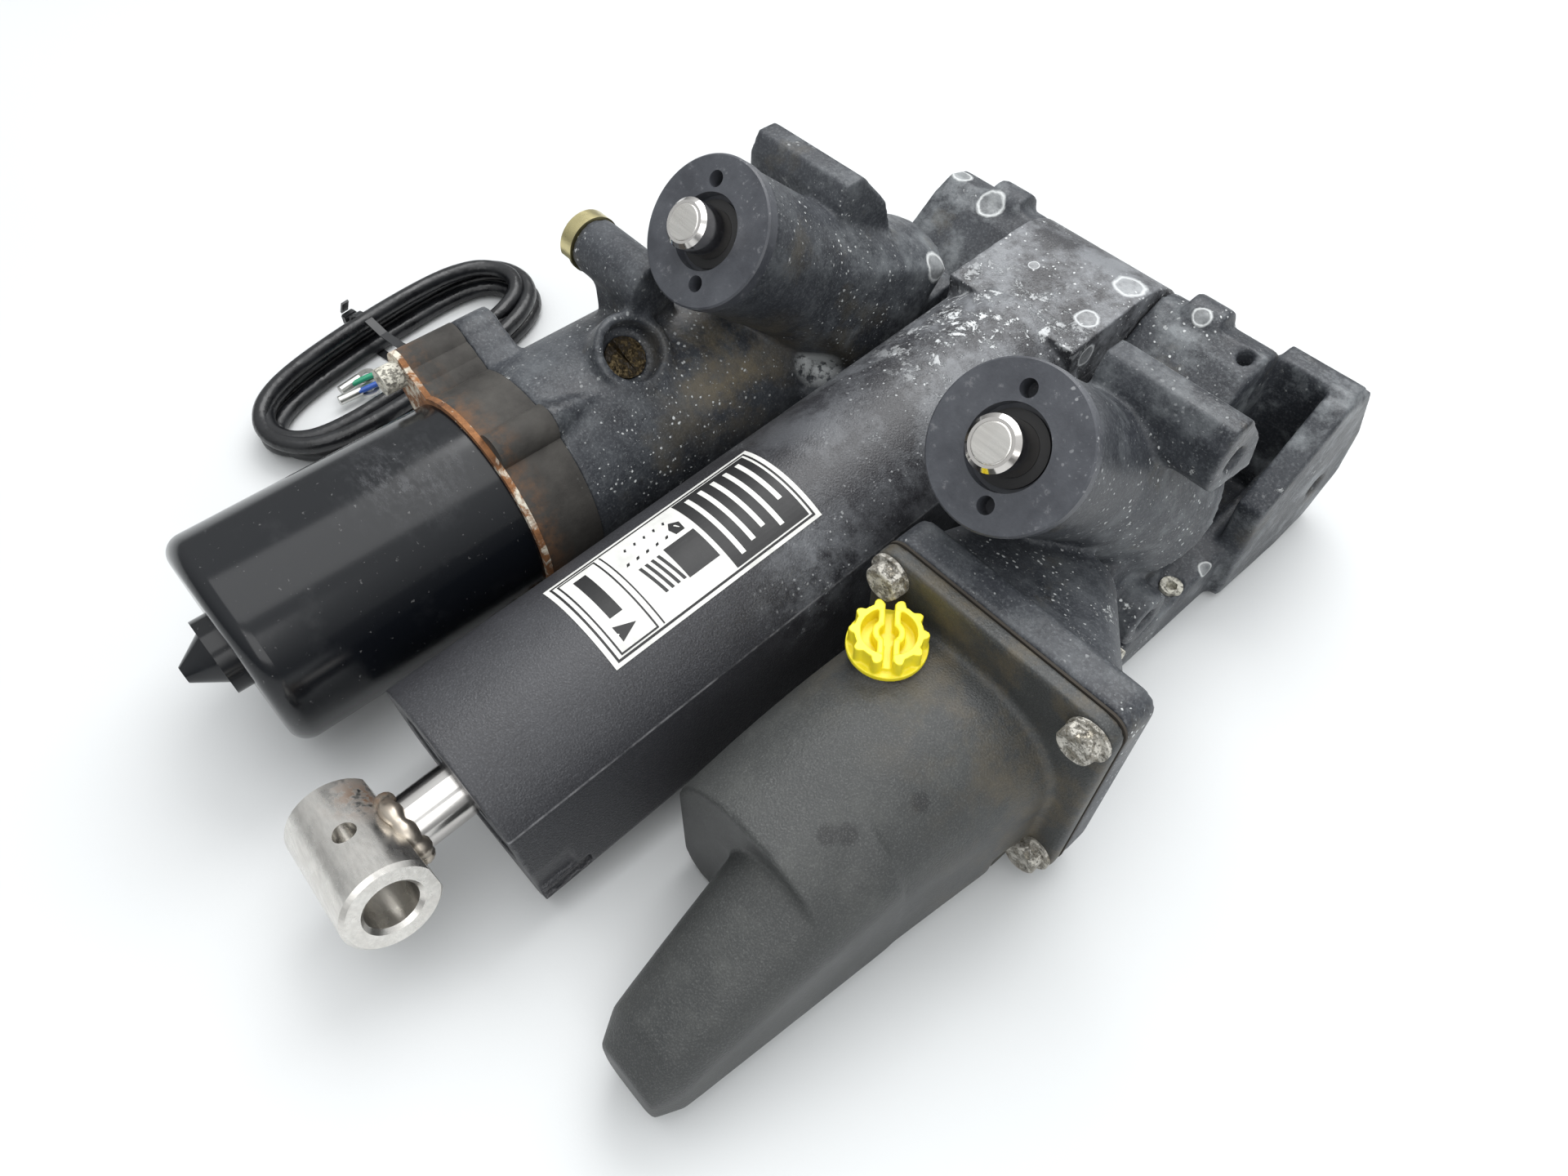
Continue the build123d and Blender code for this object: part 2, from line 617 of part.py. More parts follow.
def release_valve():
    """Slotted bronze screw with a conical seat."""
    inward = tuple(-VALVE_AXIS)
    head = valve_point(VALVE_HEAD_DEPTH)
    screw = rod(head, inward, VALVE_RADIUS, 8)
    screw += frustum(valve_point(VALVE_HEAD_DEPTH + 8), inward, 4.5, 2.0, 9)
    across = VALVE_AXIS.cross(Vector(0, 1, 0)).normalized()
    slot_plane = Plane(origin=head, x_dir=tuple(across), z_dir=inward).rotated((0, 0, 20))
    slot = extrude(slot_plane * Rectangle(2 * VALVE_RADIUS + 2, 2.2), amount=2.6, dir=inward)
    return (screw - slot).solid()


def release_valve_seal():
    """O-ring around the valve's stem, carried along the bore but not turned."""
    place = valve_point(VALVE_HEAD_DEPTH + 8.3)
    return tube(place, tuple(-VALVE_AXIS), VALVE_RADIUS, 4.8, 2.6)


# ---------------------------------------------------------------- motor


def motor_can():
    """Drawn steel can with a stepped bearing boss and a cone on its closed end."""
    axis_start = (MOTOR_X, MOTOR_END, MOTOR_Z)
    length = MOTOR_RIM - MOTOR_END
    can = rod(axis_start, ALONG_Y, MOTOR_RADIUS, length)
    can = can.fillet(MOTOR_CORNER, can.edges().group_by(Axis.Y)[0])
    can += rod((MOTOR_X, END_BOSS_FACE, MOTOR_Z), ALONG_Y, END_BOSS_RADIUS, 10)
    can += frustum((MOTOR_X, END_CONE_TIP, MOTOR_Z), ALONG_Y, 3.5, 11, END_BOSS_FACE - END_CONE_TIP)
    hollow = rod((MOTOR_X, MOTOR_END + MOTOR_WALL, MOTOR_Z), ALONG_Y, MOTOR_RADIUS - MOTOR_WALL, length)
    hollow = hollow.fillet(MOTOR_CORNER - MOTOR_WALL, hollow.edges().group_by(Axis.Y)[0])
    can -= hollow
    can -= rod((MOTOR_X, 1.5, MOTOR_Z), ALONG_Y, END_BOSS_RADIUS - MOTOR_WALL, 8)
    return can.solid()


def motor_rim():
    """Steel plate between can and adapter, with the two screw ears."""
    plate = rod((MOTOR_X, MOTOR_RIM, MOTOR_Z), ALONG_Y, ADAPTER_RADIUS + 1, RIM_THICKNESS)
    for angle in EAR_ANGLES:
        plate += motor_ear(angle, MOTOR_RIM, RIM_THICKNESS)
    plate -= rod((MOTOR_X, MOTOR_RIM, MOTOR_Z), ALONG_Y, MOTOR_RADIUS - MOTOR_WALL, RIM_THICKNESS)
    for angle in EAR_ANGLES:
        plate -= rod(motor_point(angle, EAR_REACH, MOTOR_RIM), ALONG_Y, 3, RIM_THICKNESS)
    return plate.solid()


def motor_adapter():
    """Cast end frame that carries the brush gear and the front bearing."""
    start = MOTOR_RIM + RIM_THICKNESS
    frame = rod((MOTOR_X, start, MOTOR_Z), ALONG_Y, ADAPTER_RADIUS, ADAPTER_END - start)
    for angle in EAR_ANGLES:
        frame += motor_ear(angle, start, ADAPTER_END - start)
    frame += rod(motor_point(24, 46, start), ALONG_Y, 8, ADAPTER_END - start)
    frame -= rod((MOTOR_X, start, MOTOR_Z), ALONG_Y, 38, 14)
    frame -= rod((MOTOR_X, start, MOTOR_Z), ALONG_Y, 13, 22)
    frame -= rod((MOTOR_X, start, MOTOR_Z), ALONG_Y, 8.5, ADAPTER_END - start)
    for angle in EAR_ANGLES:
        frame -= rod(motor_point(angle, EAR_REACH, start), ALONG_Y, 3, ADAPTER_END - start)
    frame -= rod(cable_exit(-10), CABLE_OUT, GROMMET_RADIUS - 1.5, 30)
    return frame.solid()


def motor_screws():
    """Two socket cap screws that clamp rim and adapter to the manifold."""
    pieces = []
    for angle in EAR_ANGLES:
        head = motor_point(angle, EAR_REACH, MOTOR_RIM - 9)
        screw = rod(head, ALONG_Y, 5.75, 9) + rod(motor_point(angle, EAR_REACH, MOTOR_RIM), ALONG_Y, 3, 43)
        screw -= hexagon(head, ALONG_Y, 5, 4)
        pieces.append(screw.solid())
    return group(pieces)


def motor_magnets():
    ring = tube((MOTOR_X, 26, MOTOR_Z), ALONG_Y, MOTOR_RADIUS - MOTOR_WALL, 33, 66)
    keep_out = block((MOTOR_X - 12, MOTOR_X + 12), (20, 100), (MOTOR_Z - 60, MOTOR_Z + 60))
    return group((ring - keep_out).solids())


def armature_shaft():
    return rod((MOTOR_X, 2.2, MOTOR_Z), ALONG_Y, SHAFT_RADIUS, 147 - 2.2)


def armature_core():
    """Laminated core with winding slots."""
    core = tube((MOTOR_X, 34, MOTOR_Z), ALONG_Y, 32, SHAFT_RADIUS, 52)
    for index in range(12):
        slot = rod(motor_point(index * 30, 29, 34), ALONG_Y, 3.2, 52)
        core -= slot
    return core.solid()


def armature_windings():
    """Copper end turns at both ends of the core."""
    pieces = [tube((MOTOR_X, y, MOTOR_Z), ALONG_Y, 27, SHAFT_RADIUS, 8) for y in (26, 86)]
    return group(pieces)


def commutator():
    drum = tube((MOTOR_X, 97, MOTOR_Z), ALONG_Y, 12, SHAFT_RADIUS, 18)
    for index in range(12):
        gap = block((MOTOR_X - 0.4, MOTOR_X + 0.4), (96, 116), (MOTOR_Z + 10.8, MOTOR_Z + 13))
        turn = Location((MOTOR_X, 0, MOTOR_Z), (0, index * 30, 0))
        back = Location((-MOTOR_X, 0, -MOTOR_Z))
        drum -= turn * (back * gap)
    return drum.solid()


def brush_plate():
    plate = tube((MOTOR_X, 119.6, MOTOR_Z), ALONG_Y, 37.8, 14, 4)
    return plate.solid()


def brushes():
    """Two carbon brushes in their boxes, just clear of the commutator."""
    pieces = []
    for way in (-1, 1):
        low, high = sorted((MOTOR_X + way * 12.3, MOTOR_X + way * 30))
        pieces.append(block((low, high), (102, 112), (MOTOR_Z - 4, MOTOR_Z + 4)))
    return group(pieces)


def brush_boxes():
    """Brass boxes that hold the brushes and reach to the brush plate."""
    pieces = []
    for way in (-1, 1):
        low, high = sorted((MOTOR_X + way * 15, MOTOR_X + way * 32))
        box = block((low, high), (100, 119.6), (MOTOR_Z - 6, MOTOR_Z + 6))
        box -= block((low - 5, high + 5), (102, 112), (MOTOR_Z - 4, MOTOR_Z + 4))
        pieces.append(box.solid())
    return group(pieces)


def motor_bearings():
    front = tube((MOTOR_X, 133.6, MOTOR_Z), ALONG_Y, 13, SHAFT_RADIUS + SLIDE_GAP, 7)
    rear = tube((MOTOR_X, 1.6, MOTOR_Z), ALONG_Y, END_BOSS_RADIUS - MOTOR_WALL, SHAFT_RADIUS + SLIDE_GAP, 7)
    return group([front, rear])


def shaft_coupler():
    return tube((MOTOR_X, 142.2, MOTOR_Z), ALONG_Y, 7.5, SHAFT_RADIUS, 4.8) + rod(
        (MOTOR_X, 147, MOTOR_Z), ALONG_Y, 7.5, 2.4
    )


# ---------------------------------------------------------------- pump


def gear_outline(phase):
    """Straight-flanked spur gear in the XZ plane, about the local origin."""
    root, tip = GEAR_PITCH_RADIUS - 1.75, GEAR_PITCH_RADIUS + 1.3
    pitch = 360 / GEAR_TEETH
    points = []
    for tooth in range(GEAR_TEETH):
        centre = phase + tooth * pitch
        for offset, radius in ((-9.5, root), (-3.2, tip), (3.2, tip), (9.5, root)):
            turn = math.radians(centre + offset)
            points.append((radius * math.sin(turn), 0, radius * math.cos(turn)))
    return points


def spur_gear(x, z, phase):
    start, end = PUMP_BODY[0] + 0.2, GEAR_POCKET_END - 0.2
    points = [(x + px, start, z + pz) for px, _, pz in gear_outline(phase)]
    face = make_face(Polyline(*points, close=True))
    return extrude(face, amount=end - start, dir=ALONG_Y).solid()


def pump_drive_gear():
    gear = spur_gear(MOTOR_X, MOTOR_Z, 0)
    shaft = rod((MOTOR_X, 149.4, MOTOR_Z), ALONG_Y, PUMP_SHAFT_RADIUS, 24)
    return (gear + shaft).solid()


def driven_gear_z():
    return MOTOR_Z - 2 * GEAR_PITCH_RADIUS


def pump_driven_gear():
    gear = spur_gear(MOTOR_X, driven_gear_z(), 180 / GEAR_TEETH)
    shaft = rod((MOTOR_X, 151.5, driven_gear_z()), ALONG_Y, PUMP_SHAFT_RADIUS, 22)
    return (gear + shaft).solid()


def pump_cover():
    start, end = PUMP_COVER
    cover = rod((MOTOR_X, start, MOTOR_Z), ALONG_Y, 30, end - start)
    for z in (MOTOR_Z, driven_gear_z()):
        cover -= rod((MOTOR_X, start, z), ALONG_Y, PUMP_SHAFT_RADIUS + SLIDE_GAP, end - start)
    for angle in PUMP_SCREW_ANGLES:
        cover -= rod(motor_point(angle, 25, start), ALONG_Y, 2.5, end - start)
    return cover.solid()


PUMP_SCREW_ANGLES = (0, 100, 260)


def pump_body():
    start, end = PUMP_BODY
    body = rod((MOTOR_X, start, MOTOR_Z), ALONG_Y, 30, end - start)
    for z in (MOTOR_Z, driven_gear_z()):
        body -= rod((MOTOR_X, start, z), ALONG_Y, GEAR_PITCH_RADIUS + 1.45, GEAR_POCKET_END - start)
        bearing = PUMP_BEARING_END - start
        body -= rod((MOTOR_X, start, z), ALONG_Y, PUMP_SHAFT_RADIUS + SLIDE_GAP, bearing)
    for angle in PUMP_SCREW_ANGLES:
        body -= rod(motor_point(angle, 25, start), ALONG_Y, 2.5, 14)
    return body.solid()


def pump_screws():
    pieces = []
    for angle in PUMP_SCREW_ANGLES:
        start = PUMP_COVER[0]
        head = rod(motor_point(angle, 25, start - 4), ALONG_Y, 4, 4)
        shank = rod(motor_point(angle, 25, start), ALONG_Y, 2.5, 20)
        socket = hexagon(motor_point(angle, 25, start - 4), ALONG_Y, 4, 2.5)
        pieces.append((head + shank - socket).solid())
    return group(pieces)


def pump_filter():
    """Fine screen sleeve around the pump."""
    return tube((MOTOR_X, 158, MOTOR_Z), ALONG_Y, 31.2, 30, 17)


# ---------------------------------------------------------------- reservoir


def tank_section(y, x, z, crown, keel, inset):
    """Upright section of the tank: large radii above, small ones below."""
    low_x, high_x = x[0] + inset, x[1] - inset
    low_z, high_z = z[0] + inset, z[1] - inset
    corners = [(low_x, y, low_z), (low_x, y, high_z), (high_x, y, high_z), (high_x, y, low_z)]
    face = make_face(Polyline(*corners, close=True)).face()
    levels = face.vertices().group_by(Axis.Z)
    face = face.fillet_2d(crown - inset, levels[-1])
    levels = face.vertices().group_by(Axis.Z)
    return face.fillet_2d(keel - inset, levels[0])


def tank_shape(inset):
    """Boot-shaped tank; inset is 0 outside and the wall's thickness inside."""
    back = JOINT_Y - GASKET_THICKNESS - (2 if inset == 0 else -2)
    body = loft([
        tank_section(back, (58, 146), (-34, 51), 36, 14, inset),
        tank_section(142, (57, 139.5), (-38, 50), 36, 14, inset),
        tank_section(92 + inset, (59, 134), (-39, 44), 33, 14, inset),
    ])
    leg = loft([
        tank_section(122, (84, 137.5), (-39, 46), 25, 14, inset),
        tank_section(88, (88, 134.5), (-39, 33), 22, 14, inset),
        tank_section(35, (94, 129.5), (-38, 6), 16, 12, inset),
    ])
    toe = loft([
        tank_section(35, (94, 129.5), (-38, 6), 16, 12, inset),
        tank_section(25 + inset, (99, 125), (-35, -6), 11, 9, inset * 0.5),
    ])
    return body + leg + toe


def reservoir():
    shell = tank_shape(0)
    joint = JOINT_Y - GASKET_THICKNESS
    plate = block(FLANGE_X, (joint - FLANGE_THICKNESS, joint), FLANGE_Z)
    plate = plate.fillet(FLANGE_CORNER, plate.edges().filter_by(Axis.Y))
    x, y = FILLER_CENTRE
    filler = rod((x, y, FILLER_TOP - 14), (0, 0, 1), FILLER_RADIUS, 14)
    shell = shell + plate + filler
    shell -= tank_shape(RESERVOIR_WALL)
    shell -= rod((x, y, FILLER_TOP), (0, 0, 1), FILL_CAP_RADIUS + 2, 20)
    shell -= rod((x, y, FILLER_TOP - 22), (0, 0, 1), FILLER_BORE, 24)
    for bolt_x in BOLT_X:
        for bolt_z in BOLT_Z:
            shell -= rod((bolt_x, JOINT_Y - 12, bolt_z), ALONG_Y, BOLT_RADIUS, 14)
            clearance = 24 - GASKET_THICKNESS - FLANGE_THICKNESS
            shell -= rod((bolt_x, JOINT_Y - 24, bolt_z), ALONG_Y, 9, clearance)
    return shell.solid()


def reservoir_gasket():
    start = JOINT_Y - GASKET_THICKNESS
    sheet = block(FLANGE_X, (start, JOINT_Y), FLANGE_Z)
    sheet = sheet.fillet(FLANGE_CORNER, sheet.edges().filter_by(Axis.Y))
    sheet -= block((68, 120), (start, JOINT_Y), (-22, 48))
    for x in BOLT_X:
        for z in BOLT_Z:
            sheet -= rod((x, start, z), ALONG_Y, BOLT_RADIUS, GASKET_THICKNESS)
    return sheet.solid()


def reservoir_washers():
    start = JOINT_Y - GASKET_THICKNESS - FLANGE_THICKNESS - 1.5
    return group([tube((x, start, z), ALONG_Y, 8.2, BOLT_RADIUS, 1.5) for x in BOLT_X for z in BOLT_Z])


def reservoir_bolts():
    seat = JOINT_Y - GASKET_THICKNESS - FLANGE_THICKNESS - 1.5
    pieces = []
    for x in BOLT_X:
        for z in BOLT_Z:
            head = hexagon((x, seat - 5.5, z), ALONG_Y, 13, 5.5)
            shank = rod((x, seat, z), ALONG_Y, BOLT_RADIUS, 20)
            pieces.append((head + shank).solid())
    return group(pieces)


def fill_cap():
    """Knurled filler plug with a coin slot."""
    x, y = FILLER_CENTRE
    base = FILLER_TOP + 1.4
    cap = rod((x, y, base), (0, 0, 1), FILL_CAP_RADIUS - 1.6, FILL_CAP_HEIGHT)
    lobes = 10
    for index in range(lobes):
        turn = 2 * math.pi * (index + 0.5) / lobes
        reach = FILL_CAP_RADIUS - 2.6
        place = (x + reach * math.cos(turn), y + reach * math.sin(turn), base)
        cap += rod(place, (0, 0, 1), 2.6, FILL_CAP_HEIGHT - 2)
    cap += rod((x, y, FILLER_TOP - 12), (0, 0, 1), FILLER_BORE - 0.1, 12 + 1.4)
    top = base + FILL_CAP_HEIGHT
    cap -= tube((x, y, top - 4), (0, 0, 1), 9.8, 6.2, 4)
    bridge = block((x - 2.4, x + 2.4), (y - 16, y + 16), (top - 4, top))
    cap -= bridge
    cap -= rod((x, y, top - 5), (0, 0, 1), 2.4, 5)
    return cap.solid()


def fill_cap_seal():
    """O-ring under the cap's head, lifted with the cap but not turned."""
    x, y = FILLER_CENTRE
    return tube((x, y, FILLER_TOP), (0, 0, 1), 11.0, FILLER_BORE + 0.1, 1.3)


# ---------------------------------------------------------------- harness


def harness_grommet():
    """Tapered rubber strain relief in the adapter's outer side."""
    plug = rod(cable_exit(-8), CABLE_OUT, GROMMET_RADIUS - 1.5, 8)
    collar = frustum(cable_exit(0), CABLE_OUT, GROMMET_RADIUS, CABLE_RADIUS + 1.2, GROMMET_LENGTH)
    body = plug + collar
    body -= rod(cable_exit(-8), CABLE_OUT, CABLE_RADIUS, 8 + GROMMET_LENGTH)
    return body.solid()


def cable_exit(reach):
    """Point on the cable's way out of the adapter."""
    start = Vector(MOTOR_X, CABLE_EXIT_Y, MOTOR_Z)
    return tuple(start + Vector(*CABLE_OUT) * (ADAPTER_RADIUS + reach))


def cable_route():
    """Points from the grommet down to the table and along it into the hank."""
    return [
        cable_exit(GROMMET_LENGTH),
        cable_exit(GROMMET_LENGTH + 26),
        (-203.0, 128.5, CABLE_LEVEL),
        (-219.0, 112.0, CABLE_LEVEL),
        (-226.0, 91.0, CABLE_LEVEL),
    ]


def harness_cable():
    """Cable outside the hank, as straight runs joined by arcs."""
    points = [Vector(*point) for point in cable_route()]
    radii = []
    for before, corner, after in zip(points, points[1:], points[2:]):
        turn = math.radians((corner - before).get_angle(after - corner))
        shorter = min((corner - before).length, (after - corner).length)
        radii.append(0.45 * shorter / math.tan(turn / 2))
    print("cable arc radii", [round(radius, 1) for radius in radii])
    path = FilletPolyline(*points, radius=radii).wire()
    start = Plane(origin=points[0], z_dir=points[1] - points[0])
    cable = sweep(start * Circle(CABLE_RADIUS), path=path).solid()
    expected = math.pi * CABLE_RADIUS**2 * path.length
    print("cable tube length", round(path.length, 1), "volume ratio", round(cable.volume / expected, 4))
    return cable


def hank_frame():
    return Location((*HANK_CENTRE, BASE_Z + TIE_THICKNESS), (0, 0, HANK_YAW))


def harness_hank():
    """Outer shape of the tied hank of cable: a flat oval ring with its end turned in."""
    outer = Ellipse(HANK_SHORT, HANK_LONG)
    inner = Ellipse(HANK_SHORT - HANK_BAND, HANK_LONG - HANK_BAND)
    ring = extrude(outer - inner, amount=HANK_HEIGHT).solid()
    return hank_frame() * ring


def harness_tie():
    """Plastic tie drawn round both long sides of the hank, with its square lock."""
    half = HANK_SHORT
    reach = half + TIE_THICKNESS
    strap = block((-reach, reach), (-2.4, 2.4), (-TIE_THICKNESS, HANK_HEIGHT + TIE_THICKNESS))
    strap -= block((-half, half), (-3, 3), (0, HANK_HEIGHT))
    lock = block((-half - 7, -half - TIE_THICKNESS), (-4, 4), (HANK_HEIGHT - 9, HANK_HEIGHT - 2))
    return hank_frame() * (strap + lock).solid()


def harness_clip():
    """Open spring ring on the end of the side boss, for clipping a wire to."""
    x, y, z = CLIP_BOSS_START
    end = x - CLIP_BOSS_LENGTH
    band = tube((end, y, z), (-1, 0, 0), CLIP_OUTER, CLIP_OUTER - CLIP_WIRE, 7)
    gap = block((end - 8, end - 1.5), (y - 20, y - 4), (z - 16, z - 2))
    return (band - gap).solid()


def harness_terminals():
    """Ring terminals crimped on the ends of the harness's two wires."""
    pieces = []
    for place, turn in TERMINALS:
        eyelet = tube((0, 0, 0), (0, 0, 1), 5.0, 2.6, 1.0)
        barrel = rod((0, 4.5, 2.0), ALONG_Y, 2.4, 12)
        pieces.append(Location((*place, CABLE_LEVEL - 1), (0, 0, turn)) * (eyelet + barrel).solid())
    return group(pieces)


NODES = {
    "tilt_cylinder_body": tilt_cylinder_body,
    "tilt_gland": tilt_gland,
    "tilt_gland_seals": tilt_gland_seals,
    "information_label": information_label,
    "hinge_bushings": hinge_bushings,
    "tilt_rod": tilt_rod,
    "rod_eye": rod_eye,
    "weld_bead": weld_bead,
    "tilt_piston": tilt_piston,
    "tilt_piston_ring": lambda: piston_ring(PISTON_START + 8),
    "piston_nut": piston_nut,
    "memory_piston": memory_piston,
    "memory_piston_ring": lambda: piston_ring(MEMORY_PISTON_START + 5),
    "hinge_pin": hinge_pin,
    "manifold_casting": manifold_casting,
    "gallery_plugs": gallery_plugs,
    "release_valve": release_valve,
    "release_valve_seal": release_valve_seal,
    "motor_can": motor_can,
    "motor_rim": motor_rim,
    "motor_adapter": motor_adapter,
    "motor_screws": motor_screws,
    "motor_magnets": motor_magnets,
    "armature_shaft": armature_shaft,
    "armature_core": armature_core,
    "armature_windings": armature_windings,
    "commutator": commutator,
    "brush_plate": brush_plate,
    "brush_boxes": brush_boxes,
    "brushes": brushes,
    "motor_bearings": motor_bearings,
    "shaft_coupler": shaft_coupler,
    "pump_cover": pump_cover,
    "pump_body": pump_body,
    "pump_drive_gear": pump_drive_gear,
    "pump_driven_gear": pump_driven_gear,
    "pump_screws": pump_screws,
    "pump_filter": pump_filter,
    "static_seals": static_seals,
    "trim_wipers": trim_wipers,
    "reservoir": reservoir,
    "reservoir_gasket": reservoir_gasket,
    "reservoir_washers": reservoir_washers,
    "reservoir_bolts": reservoir_bolts,
    "fill_cap": fill_cap,
    "fill_cap_seal": fill_cap_seal,
    "harness_grommet": harness_grommet,
    "harness_cable": harness_cable,
    "harness_hank": harness_hank,
    "harness_tie": harness_tie,
    "harness_terminals": harness_terminals,
    "harness_clip": harness_clip,
}
SIDED_NODES = {
    "trim_cap": trim_cap,
    "trim_rod": trim_rod,
    "trim_rod_tip": trim_rod_tip,
    "trim_piston_ring": trim_piston_ring,
}

if __name__ == "__main__":
    os.makedirs("parts", exist_ok=True)
    for name, make in NODES.items():
        save(make(), name)
    for name, make in SIDED_NODES.items():
        for side in ("left", "right"):
            save(make(side), f"{name}_{side}")
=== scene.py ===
"""Looks of the tilt and trim unit: studio, cable, castings, mouldings, fasteners and materials."""

import json
import math

import bmesh
import bpy
from mathutils import Euler, Matrix, Vector, noise


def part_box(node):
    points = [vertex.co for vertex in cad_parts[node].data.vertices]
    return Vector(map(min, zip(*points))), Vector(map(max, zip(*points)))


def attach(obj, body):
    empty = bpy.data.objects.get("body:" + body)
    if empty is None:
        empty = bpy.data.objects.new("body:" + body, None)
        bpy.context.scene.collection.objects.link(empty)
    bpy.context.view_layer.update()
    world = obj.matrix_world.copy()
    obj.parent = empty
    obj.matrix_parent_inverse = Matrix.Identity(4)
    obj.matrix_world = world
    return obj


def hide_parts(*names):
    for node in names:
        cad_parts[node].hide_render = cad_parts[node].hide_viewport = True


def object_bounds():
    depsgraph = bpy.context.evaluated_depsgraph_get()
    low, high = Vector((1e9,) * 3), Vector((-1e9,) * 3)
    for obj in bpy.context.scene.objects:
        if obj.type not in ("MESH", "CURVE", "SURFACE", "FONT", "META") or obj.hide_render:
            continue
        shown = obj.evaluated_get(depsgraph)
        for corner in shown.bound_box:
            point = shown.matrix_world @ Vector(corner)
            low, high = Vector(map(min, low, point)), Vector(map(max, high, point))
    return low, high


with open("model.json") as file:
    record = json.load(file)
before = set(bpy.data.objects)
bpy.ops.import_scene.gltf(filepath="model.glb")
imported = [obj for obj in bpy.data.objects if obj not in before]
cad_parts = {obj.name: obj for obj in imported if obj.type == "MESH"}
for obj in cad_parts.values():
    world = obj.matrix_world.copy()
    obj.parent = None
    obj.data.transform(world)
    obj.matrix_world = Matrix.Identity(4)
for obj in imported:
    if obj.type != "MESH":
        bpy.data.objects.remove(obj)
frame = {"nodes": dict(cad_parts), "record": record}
nodes = frame["nodes"]
MM = 0.001
cad_low, cad_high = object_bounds()


def mm(*values):
    """Millimetres to a vector in metres."""
    return Vector(values) * MM


# ---------------------------------------------------------------- the frame's reference places

ROOT = "manifold"
TILT_PITCH = math.radians(4.3)
table_z = cad_low.z
cable_radius = 4.25 * MM
wire_radius = 1.5 * MM


# ---------------------------------------------------------------- studio


def add_camera():
    data = bpy.data.cameras.new("camera")
    data.sensor_width = 36.0
    data.lens = 24.893
    data.clip_start = 0.01
    data.clip_end = 20.0
    camera = bpy.data.objects.new("camera", data)
    camera.location = mm(200.27, 1.29, 357.91)
    camera.rotation_euler = Euler([math.radians(a) for a in (36.643, -1.365, 47.552)])
    bpy.context.scene.collection.objects.link(camera)
    bpy.context.scene.camera = camera


def add_area_light(name, place, target, size, power, tint=(1.0, 1.0, 1.0)):
    data = bpy.data.lights.new(name, "AREA")
    data.shape = "RECTANGLE"
    data.size, data.size_y = size
    data.energy = power
    data.color = tint
    light = bpy.data.objects.new(name, data)
    light.location = place
    light.rotation_euler = (Vector(target) - Vector(place)).to_track_quat("-Z", "Y").to_euler()
    bpy.context.scene.collection.objects.link(light)


def add_studio():
    middle = (cad_low + cad_high) / 2
    add_area_light("key", (-0.5, 1.3, 1.7), middle, (1.6, 1.2), 26.0)
    add_area_light("fill", (1.5, -0.6, 1.2), middle, (1.4, 1.2), 10.0)
    add_area_light("top", (0.0, 0.2, 1.9), middle, (1.8, 1.8), 16.0)
    world = bpy.data.worlds.new("studio")
    world.use_nodes = True
    sky = world.node_tree.nodes
    links = world.node_tree.links
    direction = sky.new("ShaderNodeTexCoord")
    split = sky.new("ShaderNodeSeparateXYZ")
    links.new(direction.outputs["Generated"], split.inputs[0])
    ramp = sky.new("ShaderNodeMapRange")
    for key, value in {"From Min": 0.05, "From Max": 0.75, "To Min": 0.30, "To Max": 0.95}.items():
        ramp.inputs[key].default_value = value
    links.new(split.outputs["Z"], ramp.inputs["Value"])
    links.new(ramp.outputs["Result"], sky["Background"].inputs["Strength"])
    sky["Background"].inputs["Color"].default_value = (0.97, 0.99, 1.0, 1.0)
    bpy.context.scene.world = world
    bpy.context.scene.view_settings.view_transform = "Standard"
    mesh = bpy.data.meshes.new("floor")
    reach = 6.0
    corners = [(-reach, -reach), (reach, -reach), (reach, reach), (-reach, reach)]
    mesh.from_pydata([(x, y, table_z) for x, y in corners], [], [(0, 1, 2, 3)])
    floor = bpy.data.objects.new("floor", mesh)
    bpy.context.scene.collection.objects.link(floor)
    floor.data.materials.append(floor_material())


# ---------------------------------------------------------------- material toolkit


